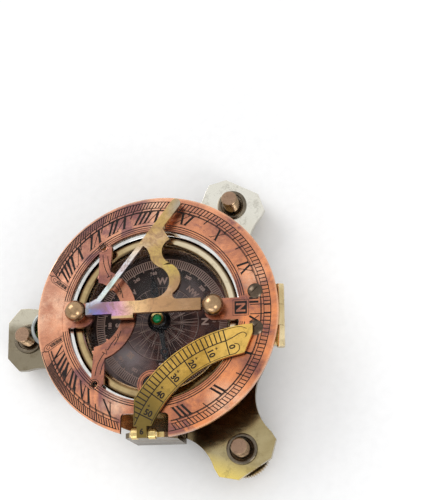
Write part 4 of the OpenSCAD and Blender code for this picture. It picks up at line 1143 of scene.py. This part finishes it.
def rose(pale, dark):
    """The star: long, middle and short points, each half dark, between fine rays."""
    for radius in ROSE_CIRCLES:
        dark.circle(0, 0, radius, 6, ROSE_W)
        pale.circle(0, 0, radius - HAIR_IN, 6, HAIR_W)
    for i in range(2 * ROSE_POINTS):
        bearing = i * 180 / ROSE_POINTS
        reach = ROSE_SHORT
        if i % 2 == 0:
            reach = ROSE_MIDDLE if i % 4 else ROSE_LONG
        tip = polar(reach, bearing)
        left, right = polar(ROSE_ROOT, bearing + ROSE_ROOT_TURN), polar(ROSE_ROOT, bearing - ROSE_ROOT_TURN)
        dark.shape([(0, 0), right, tip])
        pale.line([(0, 0), tip], SPINE_W)
        pale.line([left, tip, right], SIDE_W)
    for i in range(RAYS):
        bearing = i * 360 / RAYS + RAY_TURN
        pale.line([polar(RAY_IN, bearing), polar(RAY_OUT, bearing)], HAIR_W)


def print_card():
    """The card's pale and dark printing, as two thin fillings."""
    pale, dark = Ink(), Ink()
    card_scale(pale)
    rose(pale, dark)
    dark.build("card_rose", CARD_TOP, "base", "card_face", "print_dark")
    pale.build("card_marks", CARD_TOP, "base", "card_face", "print", lift=MARKS_LIFT)


# Turned pieces: the polished snap ring between the case and the bezel, and the cut stone

# radius and height of each corner of the snap ring's section, sloping in towards the glass
SNAP_SECTION = [(31.5, 29.5), (31.5, 30.1), (31.4, 30.16), (30.42, 29.9), (30.34, 29.82), (30.34, 29.3)]
SNAP_STEPS = 160
FACETS = 8
AXIS_R = 0.01

# the stone, as shares of its height and radius: its girdle, its shoulder and the table on top
GIRDLE = 0.45
SHOULDER_R, SHOULDER_DROP = 0.66, 0.12
TABLE_R = 0.4


def lathe(name, profile, steps, body, key):
    """A turned piece about the ring centre from a closed profile of (radius, height)."""
    form = bmesh.new()
    rows = []
    for i in range(steps):
        rows.append([form.verts.new(placed(*polar(r, 360 * i / steps), z)) for r, z in profile])
    count = len(profile)
    for i in range(steps):
        here, there = rows[i], rows[(i + 1) % steps]
        for j in range(count):
            k = (j + 1) % count
            face = form.faces.new([here[j], here[k], there[k], there[j]])
            face.smooth = True
    bmesh.ops.recalc_face_normals(form, faces=form.faces)
    made = made_piece(name, form, M[key], body)
    made.data.set_sharp_from_angle(angle=SHARP)
    return made


def snap_ring():
    """The polished ring in the mouth of the case."""
    lathe("case_snap_ring", SNAP_SECTION, SNAP_STEPS, "base", "silver")


def cut_jewel():
    """The stone as a cut cabochon: a girdle, a ring of facets and a flat table."""
    low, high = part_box("jewel")
    radius = (high.x - low.x) / 2 / MM
    bottom, top = low.z / MM, high.z / MM
    height = top - bottom
    profile = [(AXIS_R, bottom), (radius, bottom), (radius, bottom + GIRDLE * height),
               (SHOULDER_R * radius, top - SHOULDER_DROP * height), (TABLE_R * radius, top), (AXIS_R, top)]
    stone = lathe("jewel_cut", profile, FACETS, "compass_needle", "jewel")
    for face in stone.data.polygons:
        face.use_smooth = False
    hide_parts("jewel")


# Stage: floor, lamps and world, in metres

FLOOR_HALF = 4.0
AIM = (0, 0, 0.02)

# where the floor begins to turn white and where it is white, in millimetres from the ring centre
FLOOR_NEAR, FLOOR_FAR = 100, 420

# each lamp: place, two sides and watts
LAMPS = {
    "key": ((-0.80, 0.74, 0.86), (0.8, 0.8), 7.0),
    "fill": ((0.66, -0.62, 0.60), (0.4, 0.4), 2.6),
    "back": ((-0.2, -0.9, 0.35), (0.8, 0.25), 1.8),
}
WORLD_LOW, LOW_END = (0.22, 0.21, 0.20, 1), 0.05
WORLD_HIGH, HIGH_END = (0.93, 0.94, 0.96, 1), 0.85
WHITE = (1, 1, 1, 1)


def make_floor():
    """A plain pale floor."""
    mesh = bpy.data.meshes.new("floor")
    corners = [(x * FLOOR_HALF, y * FLOOR_HALF, 0) for x, y in ((-1, -1), (1, -1), (1, 1), (-1, 1))]
    mesh.from_pydata(corners, [], [(0, 1, 2, 3)])
    floor = new_object("floor", mesh)
    s = Shader("floor_paper")
    grain = s.noise(300, detail=3)
    s.feed("Base Color", s.ramp(grain, [(0.3, (0.93, 0.93, 0.925)), (0.7, (0.96, 0.96, 0.955))]))
    s.set(Roughness=0.9, Specular_IOR_Level=0.1)
    fade_to_white(s)
    mesh.materials.append(s.material)


def background_ray(tree):
    """1 for the rays that show the background: straight, off metal or through glass. 0 for light."""
    light_path = tree.nodes.new("ShaderNodeLightPath")
    total = light_path.outputs["Is Camera Ray"]
    for kind in ("Is Glossy Ray", "Is Transmission Ray"):
        either = tree.nodes.new("ShaderNodeMath")
        either.operation = "MAXIMUM"
        tree.links.new(total, either.inputs[0])
        tree.links.new(light_path.outputs[kind], either.inputs[1])
        total = either.outputs["Value"]
    return total


def fade_to_white(s):
    """Away from the object the floor is seen as plain white; close by it keeps its shadow."""
    glow = s.node("ShaderNodeEmission")
    share = s.times(background_ray(s.tree), s.away(FLOOR_NEAR, FLOOR_FAR))
    blend = s.node("ShaderNodeMixShader")
    s.link(share, blend.inputs["Fac"])
    output = s.tree.nodes["Material Output"]
    s.link(s.shader.outputs["BSDF"], blend.inputs[1])
    s.link(glow.outputs["Emission"], blend.inputs[2])
    s.link(blend.outputs["Shader"], output.inputs["Surface"])


def make_lamp(name, spot, size, power):
    """A soft rectangular lamp that faces the object."""
    data = bpy.data.lights.new(name, "AREA")
    data.shape = "RECTANGLE"
    data.size, data.size_y = size
    data.energy = power
    lamp = new_object(name, data)
    lamp.location = spot
    lamp.rotation_euler = (Vector(AIM) - Vector(spot)).to_track_quat("-Z", "Y").to_euler()


def make_world():
    """A soft grey-to-white dome that lights the object, seen as plain white."""
    world = bpy.data.worlds.new("studio")
    world.use_nodes = True
    tree = world.node_tree
    background = tree.nodes["Background"]
    place = tree.nodes.new("ShaderNodeTexCoord")
    split = tree.nodes.new("ShaderNodeSeparateXYZ")
    tree.links.new(place.outputs["Generated"], split.inputs["Vector"])
    sky = tree.nodes.new("ShaderNodeValToRGB")
    low, high = sky.color_ramp.elements
    low.position = LOW_END
    low.color = WORLD_LOW
    high.position = HIGH_END
    high.color = WORLD_HIGH
    tree.links.new(split.outputs["Z"], sky.inputs["Fac"])
    choose = tree.nodes.new("ShaderNodeMix")
    choose.data_type = "RGBA"
    tree.links.new(background_ray(tree), choose.inputs[MIX_AMOUNT])
    tree.links.new(sky.outputs["Color"], choose.inputs[MIX_FIRST])
    choose.inputs[MIX_SECOND].default_value = WHITE
    tree.links.new(choose.outputs[MIX_RESULT], background.inputs["Color"])
    background.inputs["Strength"].default_value = 1.0
    bpy.context.scene.world = world


# The scene

bpy.context.scene.view_settings.view_transform = "Standard"
make_camera()
finish_nodes()
for node, width in WALLS_EASED.items():
    softened(node, width, all_edges=False)
for node, width in ALL_EASED.items():
    softened(node, width, all_edges=True)
snap_ring()
cut_jewel()
engrave_ring()
letter_boxes()
engrave_arc()
print_card()
make_floor()
make_world()
for name, (spot, size, power) in LAMPS.items():
    make_lamp(name, spot, size, power)
